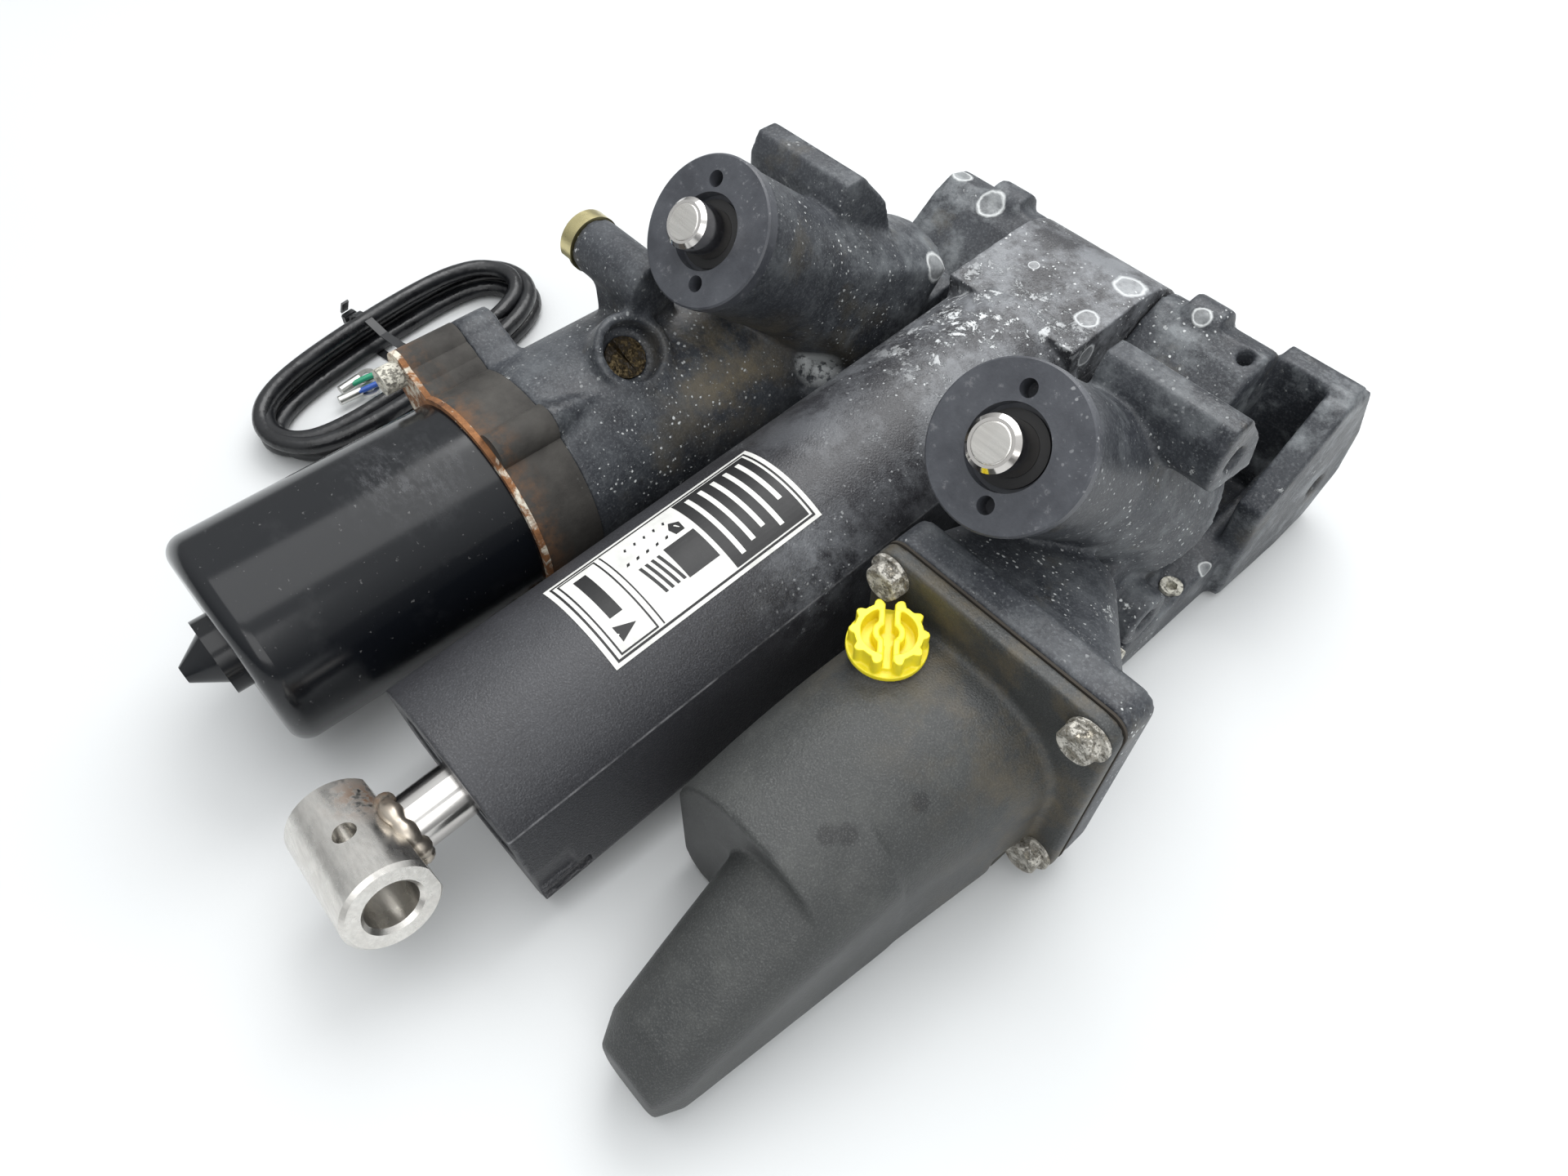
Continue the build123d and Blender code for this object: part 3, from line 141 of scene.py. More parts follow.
class Paint:
    """A Principled material with short ways to add procedural nodes in object coordinates."""

    def __init__(self, name, **values):
        self.material = bpy.data.materials.new(name)
        self.material.use_nodes = True
        self.tree = self.material.node_tree
        self.shader = self.tree.nodes["Principled BSDF"]
        self.place = self.add("ShaderNodeTexCoord").outputs["Object"]
        for key, value in values.items():
            self.set(key.replace("_", " "), value)

    def add(self, kind, links=None, **settings):
        node = self.tree.nodes.new(kind)
        for key, value in settings.items():
            setattr(node, key, value)
        for key, value in (links or {}).items():
            self.feed(node.inputs[key], value)
        return node

    def feed(self, socket, value):
        if isinstance(value, bpy.types.NodeSocket):
            self.tree.links.new(value, socket)
        elif isinstance(value, tuple) and len(value) == 3 and socket.type == "RGBA":
            socket.default_value = (*value, 1.0)
        else:
            socket.default_value = value

    def set(self, key, value):
        names = {socket.name.lower(): socket for socket in self.shader.inputs}
        self.feed(names[key.lower()], value)

    def stretched(self, scale):
        inputs = {0: self.place, 1: scale}
        return self.add("ShaderNodeVectorMath", inputs, operation="MULTIPLY").outputs[0]

    def noise(self, scale, detail=3.0, roughness=0.55, distortion=0.0, place=None):
        links = {"Vector": place or self.place, "Scale": scale, "Detail": detail}
        links["Roughness"] = roughness
        links["Distortion"] = distortion
        return self.add("ShaderNodeTexNoise", links).outputs["Fac"]

    def tinted(self, scale, reach):
        """A small noisy offset, to bend the outline of a cell or a spot."""
        node = self.add("ShaderNodeTexNoise", {"Vector": self.place, "Scale": scale, "Detail": 3.0})
        inputs = {0: node.outputs["Color"], "Scale": reach}
        return self.add("ShaderNodeVectorMath", inputs, operation="SCALE").outputs[0]

    def cells(self, scale, feature="F1", randomness=1.0, place=None):
        links = {"Vector": place or self.place, "Scale": scale, "Randomness": randomness}
        return self.add("ShaderNodeTexVoronoi", links, feature=feature).outputs["Distance"]

    def fade(self, value, low, high, to_low=0.0, to_high=1.0):
        links = {"Value": value, "From Min": low, "From Max": high, "To Min": to_low, "To Max": to_high}
        return self.add("ShaderNodeMapRange", links, clamp=True).outputs["Result"]

    def sum(self, a, b, operation="ADD"):
        return self.add("ShaderNodeMath", {0: a, 1: b}, operation=operation, use_clamp=False).outputs[0]

    def times(self, a, b):
        return self.sum(a, b, "MULTIPLY")

    def largest(self, *values):
        result = values[0]
        for value in values[1:]:
            result = self.sum(result, value, "MAXIMUM")
        return result

    def mix(self, factor, a, b):
        node = self.add("ShaderNodeMix", data_type="RGBA")
        self.feed(node.inputs["Factor"], factor)
        self.feed(node.inputs[6], a)
        self.feed(node.inputs[7], b)
        return node.outputs[2]

    def ball(self, centre, inner, outer):
        """1 inside the inner radius of a point, fading to 0 at the outer radius."""
        distance = self.add("ShaderNodeVectorMath", {0: self.place, 1: tuple(centre)}, operation="DISTANCE")
        return self.fade(distance.outputs["Value"], inner, outer, 1.0, 0.0)

    def axis(self, name):
        return self.add("ShaderNodeSeparateXYZ", {0: self.place}).outputs[name]

    def bump(self, height, depth, strength=1.0, after=None):
        links = {"Height": height, "Distance": depth, "Strength": strength}
        node = self.add("ShaderNodeBump", links)
        if after:
            self.tree.links.new(after, node.inputs["Normal"])
        return node.outputs["Normal"]


def floor_material():
    paint = Paint("floor_sheet", roughness=0.55)
    tone = paint.fade(paint.noise(1.6, 2.0), 0.3, 0.7)
    paint.set("Base Color", paint.mix(tone, (0.62, 0.635, 0.64), (0.655, 0.665, 0.67)))
    paint.set("Normal", paint.bump(paint.noise(900.0, 2.0), 0.00005, 0.4))
    return paint.material


# ---------------------------------------------------------------- materials of the unit


def white_specks(paint, density, reach_scale=14.0):
    """Small oxide specks in patches."""
    patch = paint.fade(paint.noise(reach_scale, 3.0, 0.6), 0.62 - density, 0.78 - density)
    size = paint.noise(60.0, 2.0)
    inputs = {0: paint.place, 1: paint.tinted(260.0, 0.0022)}
    bent = paint.add("ShaderNodeVectorMath", inputs, operation="ADD")
    reach = paint.cells(300.0, place=bent.outputs[0])
    dots = paint.fade(paint.sum(reach, paint.times(size, 0.42), "SUBTRACT"), -0.12, -0.04, 1.0, 0.0)
    fine = paint.fade(paint.noise(700.0, 2.0, 0.7), 0.66, 0.74)
    return paint.times(patch, paint.largest(dots, paint.times(fine, 0.6)))


def rings(paint, places):
    """Blooms of white oxide: a pale filled spot with a brighter uneven rim."""
    wobble = paint.noise(160.0, 3.0, 0.6)
    bloom = None
    for centre, radius in places:
        centre = tuple(Vector(centre) * MM)
        node = paint.add("ShaderNodeVectorMath", {0: paint.place, 1: centre}, operation="DISTANCE")
        distance = paint.sum(node.outputs["Value"], paint.times(wobble, 0.5 * radius * MM))
        fill = paint.fade(distance, radius * 1.05 * MM, radius * 1.3 * MM, 0.34, 0.0)
        fill = paint.times(fill, paint.fade(wobble, 0.30, 0.62, 0.3, 1.0))
        rim_in = paint.fade(distance, radius * 0.95 * MM, radius * 1.15 * MM)
        rim_out = paint.fade(distance, radius * 1.2 * MM, radius * 1.4 * MM, 1.0, 0.0)
        spot = paint.largest(fill, paint.times(paint.times(rim_in, rim_out), 0.85))
        bloom = spot if bloom is None else paint.largest(bloom, spot)
    return bloom


CASTING_BLOOMS = (
    ((-48, 332, 55), 7.0),
    ((-59, 379, 61), 6.5),
    ((55, 382, 64), 4.0),
    ((-83, 386, 61), 5.0),
    ((117, 339, -13), 3.5),
    ((-70, 262, 44), 2.2),
    ((-58, 290, 40), 2.5),
)
CYLINDER_BLOOMS = (
    ((25, 371, 68), 7.0),
    ((25, 342, 66), 5.0),
    ((34, 334, 56), 5.0),
    ((-12, 352, 67), 2.5),
)


def crusted(paint, scale, amount):
    """Ragged pale patches with crisp edges."""
    return paint.fade(paint.noise(scale, 8.0, 0.78, 0.35), 0.70 - amount, 0.735 - amount)


def speckled(paint, base, pale, scale=1100.0, amount=0.5):
    """Fine moulded or sprayed grain: tiny paler points in a base colour."""
    grain = paint.fade(paint.noise(scale, 2.0, 0.6), 0.50, 0.72)
    return paint.mix(paint.times(grain, amount), base, pale)


def casting_material():
    paint = Paint("charcoal_casting", specular_ior_level=0.42)
    mottled = paint.fade(paint.noise(26.0, 6.0, 0.66), 0.32, 0.70)
    base = paint.mix(mottled, (0.014, 0.016, 0.021), (0.056, 0.061, 0.070))
    rear = paint.fade(paint.axis("Y"), 0.22, 0.40)
    worn = paint.fade(paint.noise(46.0, 7.0, 0.74), 0.48, 0.66)
    chalky = paint.times(worn, paint.fade(rear, 0.0, 1.0, 0.25, 0.95))
    base = paint.mix(chalky, base, (0.20, 0.215, 0.225))
    base = speckled(paint, base, (0.14, 0.15, 0.16), 900.0, 0.45)
    below_barrel = paint.ball(mm(-66, 226, 46), 10 * MM, 42 * MM)
    sand = paint.times(below_barrel, paint.fade(paint.noise(55.0, 6.0, 0.7), 0.42, 0.62))
    base = paint.mix(paint.times(sand, 0.7), base, (0.19, 0.155, 0.095))
    stain = paint.times(paint.fade(paint.noise(30.0, 5.0, 0.62), 0.58, 0.70), 0.45)
    base = paint.mix(stain, base, (0.095, 0.080, 0.052))
    patches = paint.times(crusted(paint, 70.0, 0.065), paint.fade(paint.noise(11.0, 2.0), 0.46, 0.60))
    white = paint.ball(mm(-58, 268, 30), 5 * MM, 12 * MM)
    white = paint.times(white, paint.fade(paint.noise(120.0, 4.0, 0.7), 0.40, 0.48))
    oxide = paint.largest(white_specks(paint, 0.16), rings(paint, CASTING_BLOOMS), patches, white)
    base = paint.mix(oxide, base, (0.66, 0.68, 0.68))
    paint.set("Base Color", base)
    paint.set("Roughness", paint.fade(mottled, 0.0, 1.0, 0.34, 0.60))
    grain = paint.bump(paint.noise(430.0, 4.0, 0.65), 0.00035, 0.9)
    lumps = paint.bump(paint.noise(60.0, 3.0, 0.5), 0.0012, 0.5, grain)
    paint.set("Normal", paint.bump(oxide, 0.0004, 0.9, lumps))
    return paint.material


def tilt_axes(paint):
    """X, along and height in the tilt cylinder's own frame, in metres."""
    inputs = {"Vector": paint.place, "Angle": -TILT_PITCH}
    turned = paint.add("ShaderNodeVectorRotate", inputs, rotation_type="X_AXIS")
    split = paint.add("ShaderNodeSeparateXYZ", {0: turned.outputs[0]})
    return split.outputs["X"], split.outputs["Y"], split.outputs["Z"]


def cylinder_material():
    paint = Paint("satin_cylinder_paint", specular_ior_level=0.5)
    across, along, height = tilt_axes(paint)
    cloudy = paint.fade(paint.noise(16.0, 5.0, 0.6), 0.35, 0.7)
    base = paint.mix(cloudy, (0.020, 0.020, 0.023), (0.036, 0.037, 0.042))
    base = speckled(paint, base, (0.105, 0.108, 0.118), 1700.0, 0.5)
    rear = paint.fade(along, 0.17, 0.31)
    rear = paint.largest(rear, paint.times(paint.ball(mm(36, 186, 38), 8 * MM, 40 * MM), 0.8))
    chalk = paint.times(rear, paint.fade(paint.noise(34.0, 7.0, 0.76), 0.44, 0.60))
    base = paint.mix(paint.times(chalk, 0.85), base, (0.21, 0.22, 0.235))
    heavy = paint.ball(mm(0, 306, 66), 14 * MM, 52 * MM)
    crust = paint.times(crusted(paint, 120.0, 0.16), heavy)
    rear_specks = paint.times(rear, white_specks(paint, 0.24))
    oxide = paint.largest(rear_specks, rings(paint, CYLINDER_BLOOMS), crust)
    oxide = paint.largest(oxide, paint.times(rear, crusted(paint, 85.0, 0.07)))
    base = paint.mix(oxide, base, (0.64, 0.66, 0.67))
    # Painted highlight: a thin pale line along the cylinder at one angle on its +X side, where the ridge
    # catches the light, broken up by noise.
    slope = math.radians(64.0)
    level, upright = paint.times(across, math.cos(slope)), paint.times(height, math.sin(slope))
    side = paint.sum(level, upright, "SUBTRACT")
    painted_ridge_highlight = paint.fade(paint.sum(side, 0.0, "ABSOLUTE"), 0.0002, 0.0007, 1.0, 0.0)
    painted_ridge_highlight = paint.times(painted_ridge_highlight, paint.fade(across, 0.030, 0.036))
    painted_ridge_highlight = paint.times(painted_ridge_highlight, paint.fade(paint.noise(90.0, 5.0, 0.7), 0.38, 0.56, 0.15, 1.0))
    paint.set("Base Color", paint.mix(paint.times(painted_ridge_highlight, 0.55), base, (0.34, 0.34, 0.35)))
    paint.set("Roughness", paint.fade(cloudy, 0.0, 1.0, 0.36, 0.48))
    grain = paint.bump(paint.noise(1250.0, 2.0, 0.5), 0.00024, 0.95)
    paint.set("Normal", paint.bump(oxide, 0.0004, 0.8, grain))
    return paint.material


def worn_cap_material():
    paint = Paint("black_trim_cap", specular_ior_level=0.5)
    tone = paint.fade(paint.noise(60.0, 5.0, 0.65), 0.35, 0.7)
    base = paint.mix(tone, (0.040, 0.043, 0.052), (0.080, 0.085, 0.098))
    scuffs = paint.fade(paint.noise(240.0, 5.0, 0.72), 0.60, 0.70)
    base = paint.mix(paint.times(scuffs, 0.45), base, (0.22, 0.22, 0.23))
    chips = paint.largest(crusted(paint, 210.0, -0.01), white_specks(paint, 0.10))
    base = paint.mix(paint.times(chips, 0.7), base, (0.60, 0.61, 0.62))
    paint.set("Base Color", base)
    paint.set("Roughness", paint.fade(tone, 0.0, 1.0, 0.38, 0.52))
    paint.set("Normal", paint.bump(paint.noise(900.0, 2.0), 0.00012, 0.7))
    return paint.material


def motor_material():
    paint = Paint("gloss_black_enamel", specular_ior_level=0.42)
    # Painted highlight: a soft dark grey patch on the top middle of the can, streaked by fine noise; the
    # same patch is also made rougher.
    highlight_spot = paint.ball(mm(-96, 88, 56), 6 * MM, 30 * MM)
    highlight_spot = paint.times(highlight_spot, paint.fade(paint.noise(70.0, 6.0, 0.75), 0.40, 0.62))
    fine = paint.fade(paint.noise(420.0, 5.0, 0.7, place=paint.stretched((0.4, 1.0, 1.0))), 0.42, 0.62)
    painted_highlight = paint.times(highlight_spot, fine)
    haze = paint.fade(paint.noise(38.0, 6.0, 0.7), 0.55, 0.8)
    base = paint.mix(paint.times(haze, 0.35), (0.004, 0.005, 0.007), (0.035, 0.037, 0.040))
    dust = paint.times(paint.fade(paint.noise(500.0, 2.0), 0.70, 0.76), 0.5)
    base = paint.mix(dust, base, (0.16, 0.16, 0.16))
    paint.set("Base Color", paint.mix(paint.times(painted_highlight, 0.6), base, (0.075, 0.078, 0.085)))
    rough = paint.fade(paint.largest(painted_highlight, paint.times(haze, 0.5)), 0.0, 1.0, 0.17, 0.46)
    paint.set("Roughness", rough)
    paint.set("Normal", paint.bump(paint.noise(90.0, 3.0), 0.00012, 0.25))
    return paint.material


def rust_material():
    paint = Paint("rusted_plate", roughness=0.85)
    tone = paint.fade(paint.noise(140.0, 6.0, 0.7), 0.3, 0.7)
    base = paint.mix(tone, (0.09, 0.035, 0.014), (0.36, 0.16, 0.06))
    deposit = paint.fade(paint.noise(90.0, 5.0, 0.7, 0.4), 0.52, 0.62)
    paint.set("Base Color", paint.mix(deposit, base, (0.66, 0.62, 0.52)))
    paint.set("Normal", paint.bump(paint.noise(420.0, 4.0, 0.7), 0.0008, 0.9))
    return paint.material


def adapter_material():
    paint = Paint("matte_adapter_casting", specular_ior_level=0.25)
    tone = paint.fade(paint.noise(48.0, 6.0, 0.65), 0.3, 0.7)
    base = paint.mix(tone, (0.030, 0.028, 0.026), (0.072, 0.068, 0.062))
    near_edge = paint.fade(paint.axis("Y"), 0.132, 0.118)
    rust = paint.times(near_edge, paint.fade(paint.noise(70.0, 5.0, 0.7), 0.45, 0.62))
    base = paint.mix(paint.times(rust, 0.8), base, (0.17, 0.085, 0.04))
    oxide = paint.times(white_specks(paint, 0.06), 0.8)
    paint.set("Base Color", paint.mix(oxide, base, (0.5, 0.5, 0.48)))
    paint.set("Roughness", 0.75)
    paint.set("Normal", paint.bump(paint.noise(480.0, 3.0, 0.6), 0.00025, 0.8))
    return paint.material


def tank_material():
    paint = Paint("moulded_tank_plastic", specular_ior_level=0.45)
    broad = paint.fade(paint.noise(9.0, 4.0, 0.55), 0.3, 0.7)
    base = paint.mix(broad, (0.026, 0.028, 0.029), (0.044, 0.046, 0.045))
    dusty = paint.fade(paint.noise(60.0, 5.0, 0.7), 0.5, 0.75, 0.0, 0.4)
    base = paint.mix(dusty, base, (0.085, 0.088, 0.083))
    for x, y in ((116.0, 115.0), (112.0, 110.0), (124.0, 140.0)):
        spot = paint.ball(mm(x, y, 44.0), 2.6 * MM, 4.4 * MM)
        base = paint.mix(paint.times(spot, 0.7), base, (0.012, 0.012, 0.013))
    base = speckled(paint, base, (0.125, 0.130, 0.126), 1700.0, 0.45)
    near_flange = paint.fade(paint.axis("Y"), 0.13, 0.19)
    dirt = paint.times(near_flange, paint.fade(paint.noise(45.0, 6.0, 0.7), 0.45, 0.65))
    paint.set("Base Color", paint.mix(paint.times(dirt, 0.65), base, (0.12, 0.095, 0.055)))
    paint.set("Roughness", paint.fade(paint.noise(30.0, 4.0, 0.6), 0.3, 0.7, 0.42, 0.56))
    paint.set("Normal", paint.bump(paint.noise(1250.0, 2.0, 0.5), 0.00024, 0.9))
    return paint.material


def steel_material(name="turned_steel", tone=(0.80, 0.78, 0.74), roughness=0.26, rust=0.0):
    paint = Paint(name, metallic=1.0)
    streaks = paint.noise(700.0, 3.0, 0.6, place=paint.stretched((0.08, 1.0, 1.0)))
    base = paint.mix(paint.fade(streaks, 0.3, 0.7), tuple(c * 0.82 for c in tone), tone)
    if rust:
        near = paint.ball(mm(-16, 14, 12), 3 * MM, 17 * MM)
        patch = paint.fade(paint.noise(130.0, 5.0, 0.7), 0.60 - rust * 0.3, 0.72 - rust * 0.3)
        patch = paint.times(patch, paint.fade(near, 0.0, 1.0, 0.06, 1.0))
        base = paint.mix(patch, base, (0.17, 0.09, 0.045))
        paint.set("Metallic", paint.fade(patch, 0.0, 1.0, 1.0, 0.15))
    paint.set("Base Color", base)
    wear = paint.noise(90.0, 4.0)
    paint.set("Roughness", paint.fade(wear, 0.3, 0.7, roughness - 0.06, roughness + 0.12))
    paint.set("Normal", paint.bump(streaks, 0.00003, 0.5))
    return paint.material


def chrome_material():
    paint = Paint("hard_chrome", metallic=1.0)
    tone = paint.fade(paint.noise(24.0, 4.0), 0.3, 0.7)
    paint.set("Base Color", paint.mix(tone, (0.58, 0.55, 0.52), (0.70, 0.68, 0.66)))
    paint.set("Roughness", paint.fade(paint.noise(60.0, 4.0), 0.3, 0.7, 0.08, 0.2))
    return paint.material


def pitted_metal(name, tone, crust, amount=0.5, metallic=0.7):
    """Weathered fastener: dull metal under uneven pale or tan crust."""
    paint = Paint(name)
    patch = paint.fade(paint.noise(260.0, 8.0, 0.8), 0.60 - 0.22 * amount, 0.68 - 0.22 * amount)
    fine = paint.fade(paint.noise(900.0, 4.0, 0.75), 0.38, 0.60)
    base = paint.mix(fine, tuple(c * 0.35 for c in tone), tone)
    pits = paint.fade(paint.noise(620.0, 5.0, 0.75), 0.56, 0.64)
    base = paint.mix(patch, base, crust)
    paint.set("Base Color", paint.mix(paint.times(pits, 0.75), base, tuple(c * 0.22 for c in tone)))
    paint.set("Metallic", paint.fade(patch, 0.0, 1.0, metallic, 0.05))
    paint.set("Roughness", paint.fade(patch, 0.0, 1.0, 0.45, 0.85))
    paint.set("Normal", paint.bump(paint.sum(patch, pits, "SUBTRACT"), 0.0005, 1.0))
    return paint.material


def plain_surface(name, tone, roughness, metallic=0.0, grain=600.0):
    """Inner or small part: a base tone with slight variation and fine grain."""
    paint = Paint(name, metallic=metallic)
    vary = paint.fade(paint.noise(grain * 0.15, 4.0, 0.6), 0.3, 0.7)
    paint.set("Base Color", paint.mix(vary, tuple(c * 0.75 for c in tone), tone))
    paint.set("Roughness", paint.fade(vary, 0.0, 1.0, roughness, min(1.0, roughness + 0.12)))
    paint.set("Normal", paint.bump(paint.noise(grain, 3.0), 0.0001, 0.5))
    return paint.material


def yellow_material():
    paint = Paint("lemon_plastic", subsurface_weight=0.08, subsurface_scale=0.002)
    tone = paint.fade(paint.noise(55.0, 3.0), 0.3, 0.7)
    base = paint.mix(tone, (0.80, 0.66, 0.010), (0.88, 0.76, 0.035))
    dirt = paint.fade(paint.noise(150.0, 5.0, 0.7), 0.66, 0.78)
    paint.set("Base Color", paint.mix(paint.times(dirt, 0.35), base, (0.35, 0.27, 0.05)))
    paint.set("Roughness", 0.36)
    paint.set("Normal", paint.bump(paint.noise(700.0, 2.0), 0.00005, 0.5))
    return paint.material


def cable_material():
    paint = Paint("vinyl_cable_sleeve", specular_ior_level=0.5)
    tone = paint.fade(paint.noise(70.0, 4.0, 0.6), 0.3, 0.7)
    paint.set("Base Color", paint.mix(tone, (0.003, 0.003, 0.004), (0.010, 0.011, 0.013)))
    paint.set("Roughness", paint.fade(tone, 0.0, 1.0, 0.22, 0.40))
    wrinkle = paint.bump(paint.noise(55.0, 3.0, 0.6), 0.0022, 0.55)
    paint.set("Normal", paint.bump(paint.noise(210.0, 4.0, 0.6), 0.0005, 0.5, wrinkle))
    return paint.material


MATERIALS = {
    "cast_housing": casting_material,
    "cylinder_paint": cylinder_material,
    "trim_cap_black": worn_cap_material,
    "machined_steel": lambda: steel_material(rust=0.6),
    "chromed_rod": chrome_material,
    "weld_rust": lambda: steel_material("stained_weld", (0.60, 0.54, 0.46), 0.30, 0.75),
    "motor_gloss": motor_material,
    "rusty_steel": rust_material,
    "adapter_cast": adapter_material,
    "corroded_screw": lambda: pitted_metal("oxidised_screw", (0.5, 0.48, 0.42), (0.64, 0.62, 0.54), 0.9),
    "weathered_bolt": lambda: pitted_metal("weathered_bolt", (0.50, 0.46, 0.38), (0.52, 0.50, 0.45), 0.75),
    "bronze": lambda: pitted_metal("dark_bronze", (0.20, 0.15, 0.08), (0.06, 0.05, 0.04), 0.5, 0.9),
    "zinc_ring": lambda: plain_surface("yellow_zinc", (0.70, 0.62, 0.33), 0.25, 1.0),
    "tank_plastic": tank_material,
    "yellow_plastic": yellow_material,
    "seal_rubber": lambda: plain_surface("nitrile_rubber", (0.018, 0.018, 0.019), 0.6),
    "gasket_sheet": lambda: plain_surface("gasket_fibre", (0.045, 0.038, 0.030), 0.85),
    "label_film": lambda: plain_surface("label_film", (0.80, 0.80, 0.77), 0.4),
    "cable_jacket": cable_material,
    "tie_plastic": lambda: plain_surface("black_nylon", (0.016, 0.017, 0.019), 0.35),
    "terminal_tin": lambda: plain_surface("tinned_brass", (0.66, 0.66, 0.63), 0.3, 1.0),
    "inner_steel": lambda: plain_surface("ground_steel", (0.5, 0.5, 0.5), 0.3, 1.0),
    "core_iron": lambda: plain_surface("laminated_iron", (0.2, 0.19, 0.18), 0.5, 1.0),
    "copper": lambda: plain_surface("enamelled_copper", (0.70, 0.32, 0.17), 0.35, 1.0),
    "magnet_ferrite": lambda: plain_surface("ferrite", (0.09, 0.09, 0.095), 0.7),
    "carbon": lambda: plain_surface("brush_carbon", (0.04, 0.04, 0.04), 0.6),
    "brush_card": lambda: plain_surface("phenolic_card", (0.27, 0.15, 0.07), 0.6),
    "pump_cast": lambda: plain_surface("pump_iron", (0.32, 0.32, 0.32), 0.4, 1.0),
    "bearing_bronze": lambda: plain_surface("sintered_bronze", (0.58, 0.42, 0.22), 0.45, 1.0),
    "label_ink": lambda: plain_surface("label_ink", (0.012, 0.012, 0.013), 0.45),
    "wire_green": lambda: plain_surface("green_wire", (0.02, 0.32, 0.17), 0.4),
    "wire_blue": lambda: plain_surface("blue_wire", (0.03, 0.10, 0.42), 0.4),
    "screen_mesh": lambda: plain_surface("woven_screen", (0.42, 0.42, 0.4), 0.5, 1.0, 2500.0),
}
surfaces = {}


def surface(slot_name):
    """The material of a record slot, made once."""
    if slot_name not in surfaces:
        surfaces[slot_name] = MATERIALS[slot_name]()
    return surfaces[slot_name]


def paint_frame():
    """Every CAD node gets its slot's material."""
    for entry in frame["record"]["subparts"]:
        node = nodes[entry["node"]]
        node.data.materials.clear()
        node.data.materials.append(surface(entry["material_slot"]))


# ---------------------------------------------------------------- mesh helpers


def new_piece(name, mesh, slot_name, body=ROOT):
    piece = bpy.data.objects.new(name, mesh)
    bpy.context.scene.collection.objects.link(piece)
    mesh.materials.clear()
    mesh.materials.append(surface(slot_name))
    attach(piece, body)
    return piece


def moulded_copy(node, voxel, steps):
    """Rounded skin of a CAD node."""
    return remeshed(nodes[node].data.copy(), voxel, steps)


def remeshed(source, voxel, steps):
    """A mesh rebuilt in even voxels, as one solid, then smoothed."""
    holder = bpy.data.objects.new("skin", source)
    bpy.context.scene.collection.objects.link(holder)
    remesh = holder.modifiers.new("remesh", "REMESH")
    remesh.mode = "VOXEL"
    remesh.voxel_size = voxel
    smooth = holder.modifiers.new("smooth", "SMOOTH")
    smooth.factor = 0.5
    smooth.iterations = steps
    graph = bpy.context.evaluated_depsgraph_get()
    mesh = bpy.data.meshes.new_from_object(holder.evaluated_get(graph))
    bpy.data.objects.remove(holder)
    mesh.polygons.foreach_set("use_smooth", [True] * len(mesh.polygons))
    return mesh


def add_casting():
    mesh = moulded_copy("manifold_casting", 0.0015, 6)
    skin = new_piece("manifold_skin", mesh, "cast_housing")
    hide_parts("manifold_casting")


def add_tank():
    mesh = moulded_copy("reservoir", 0.0013, 5)
    skin = new_piece("reservoir_skin", mesh, "tank_plastic")
    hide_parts("reservoir")


# ---------------------------------------------------------------- harness

CABLE_LEVEL = -36.15
# Each wire end: its eyelet's place, its bow to one side, and the way its barrel points, in degrees.
WIRE_ENDS = (
    ("wire_blue", (-247.0, 132.0), 2.0, 178.0),
    ("wire_green", (-257.0, 136.0), -2.0, 190.0),
)
TURN_POINTS = 16
HANK_YAW = math.radians(10.0)
HANK_PLACE = Matrix.Translation(mm(-252.0, 156.0, 0.0)) @ Matrix.Rotation(HANK_YAW, 4, "Z")
LEAD_IN = (
    (-158.3, 132.5, -15.8),
    (-181.8, 132.5, -26.8),
    (-203.0, 128.5, CABLE_LEVEL),
    (-219.0, 112.0, CABLE_LEVEL),
    (-226.0, 91.0, CABLE_LEVEL),
)
# Each winding: its half width, half length and height above the table at four places of the turn,
# clockwise from the lower end: left, upper end, right, lower end.
WINDINGS = (
    ((33.0, 84.0, 0.0), (33.5, 85.0, 0.0), (31.0, 84.0, 0.0), (25.0, 76.5, 0.0)),
    ((23.6, 74.6, 0.0), (24.0, 75.5, 0.6), (24.0, 76.0, 8.6), (27.5, 79.0, 9.0)),
    ((29.8, 79.5, 8.2), (32.0, 82.5, 8.9), (33.5, 83.0, 8.9), (33.4, 82.0, 9.2)),
    ((26.0, 76.0, 15.0), (24.5, 77.5, 12.0), (21.8, 75.0, 9.2), (17.5, 60.0, 9.0)),
)


def hank_point(x, y, z):
    return HANK_PLACE @ mm(x, y, z)


def oval_point(turn, half_width, half_length, rise):
    """A point of one winding; turn 0 is the lower end, and it runs clockwise."""
    angle = -math.pi / 2 - 2 * math.pi * turn
    long_side = math.tanh(2.2 * math.sin(angle)) / math.tanh(2.2)
    y = half_width * math.sin(angle) + (half_length - half_width) * long_side
    return hank_point(half_width * math.cos(angle), y, CABLE_LEVEL + rise)


def hank_route():
    """Control points of the windings, with widths and heights eased from place to place."""
    stations = [place for winding in WINDINGS for place in winding]
    stations = [(30.5, 80.5, 0.0)] + stations
    points = []
    last = (len(stations) - 1) / 4 - 0.27
    step = 1 / TURN_POINTS
    turn = 0.0
    while turn <= last:
        index = min(int(turn * 4), len(stations) - 2)
        share = turn * 4 - index
        ease = share * share * (3 - 2 * share)
        a, b = stations[index], stations[index + 1]
        points.append(oval_point(turn, *[p + (q - p) * ease for p, q in zip(a, b)]))
        turn += step
    return points


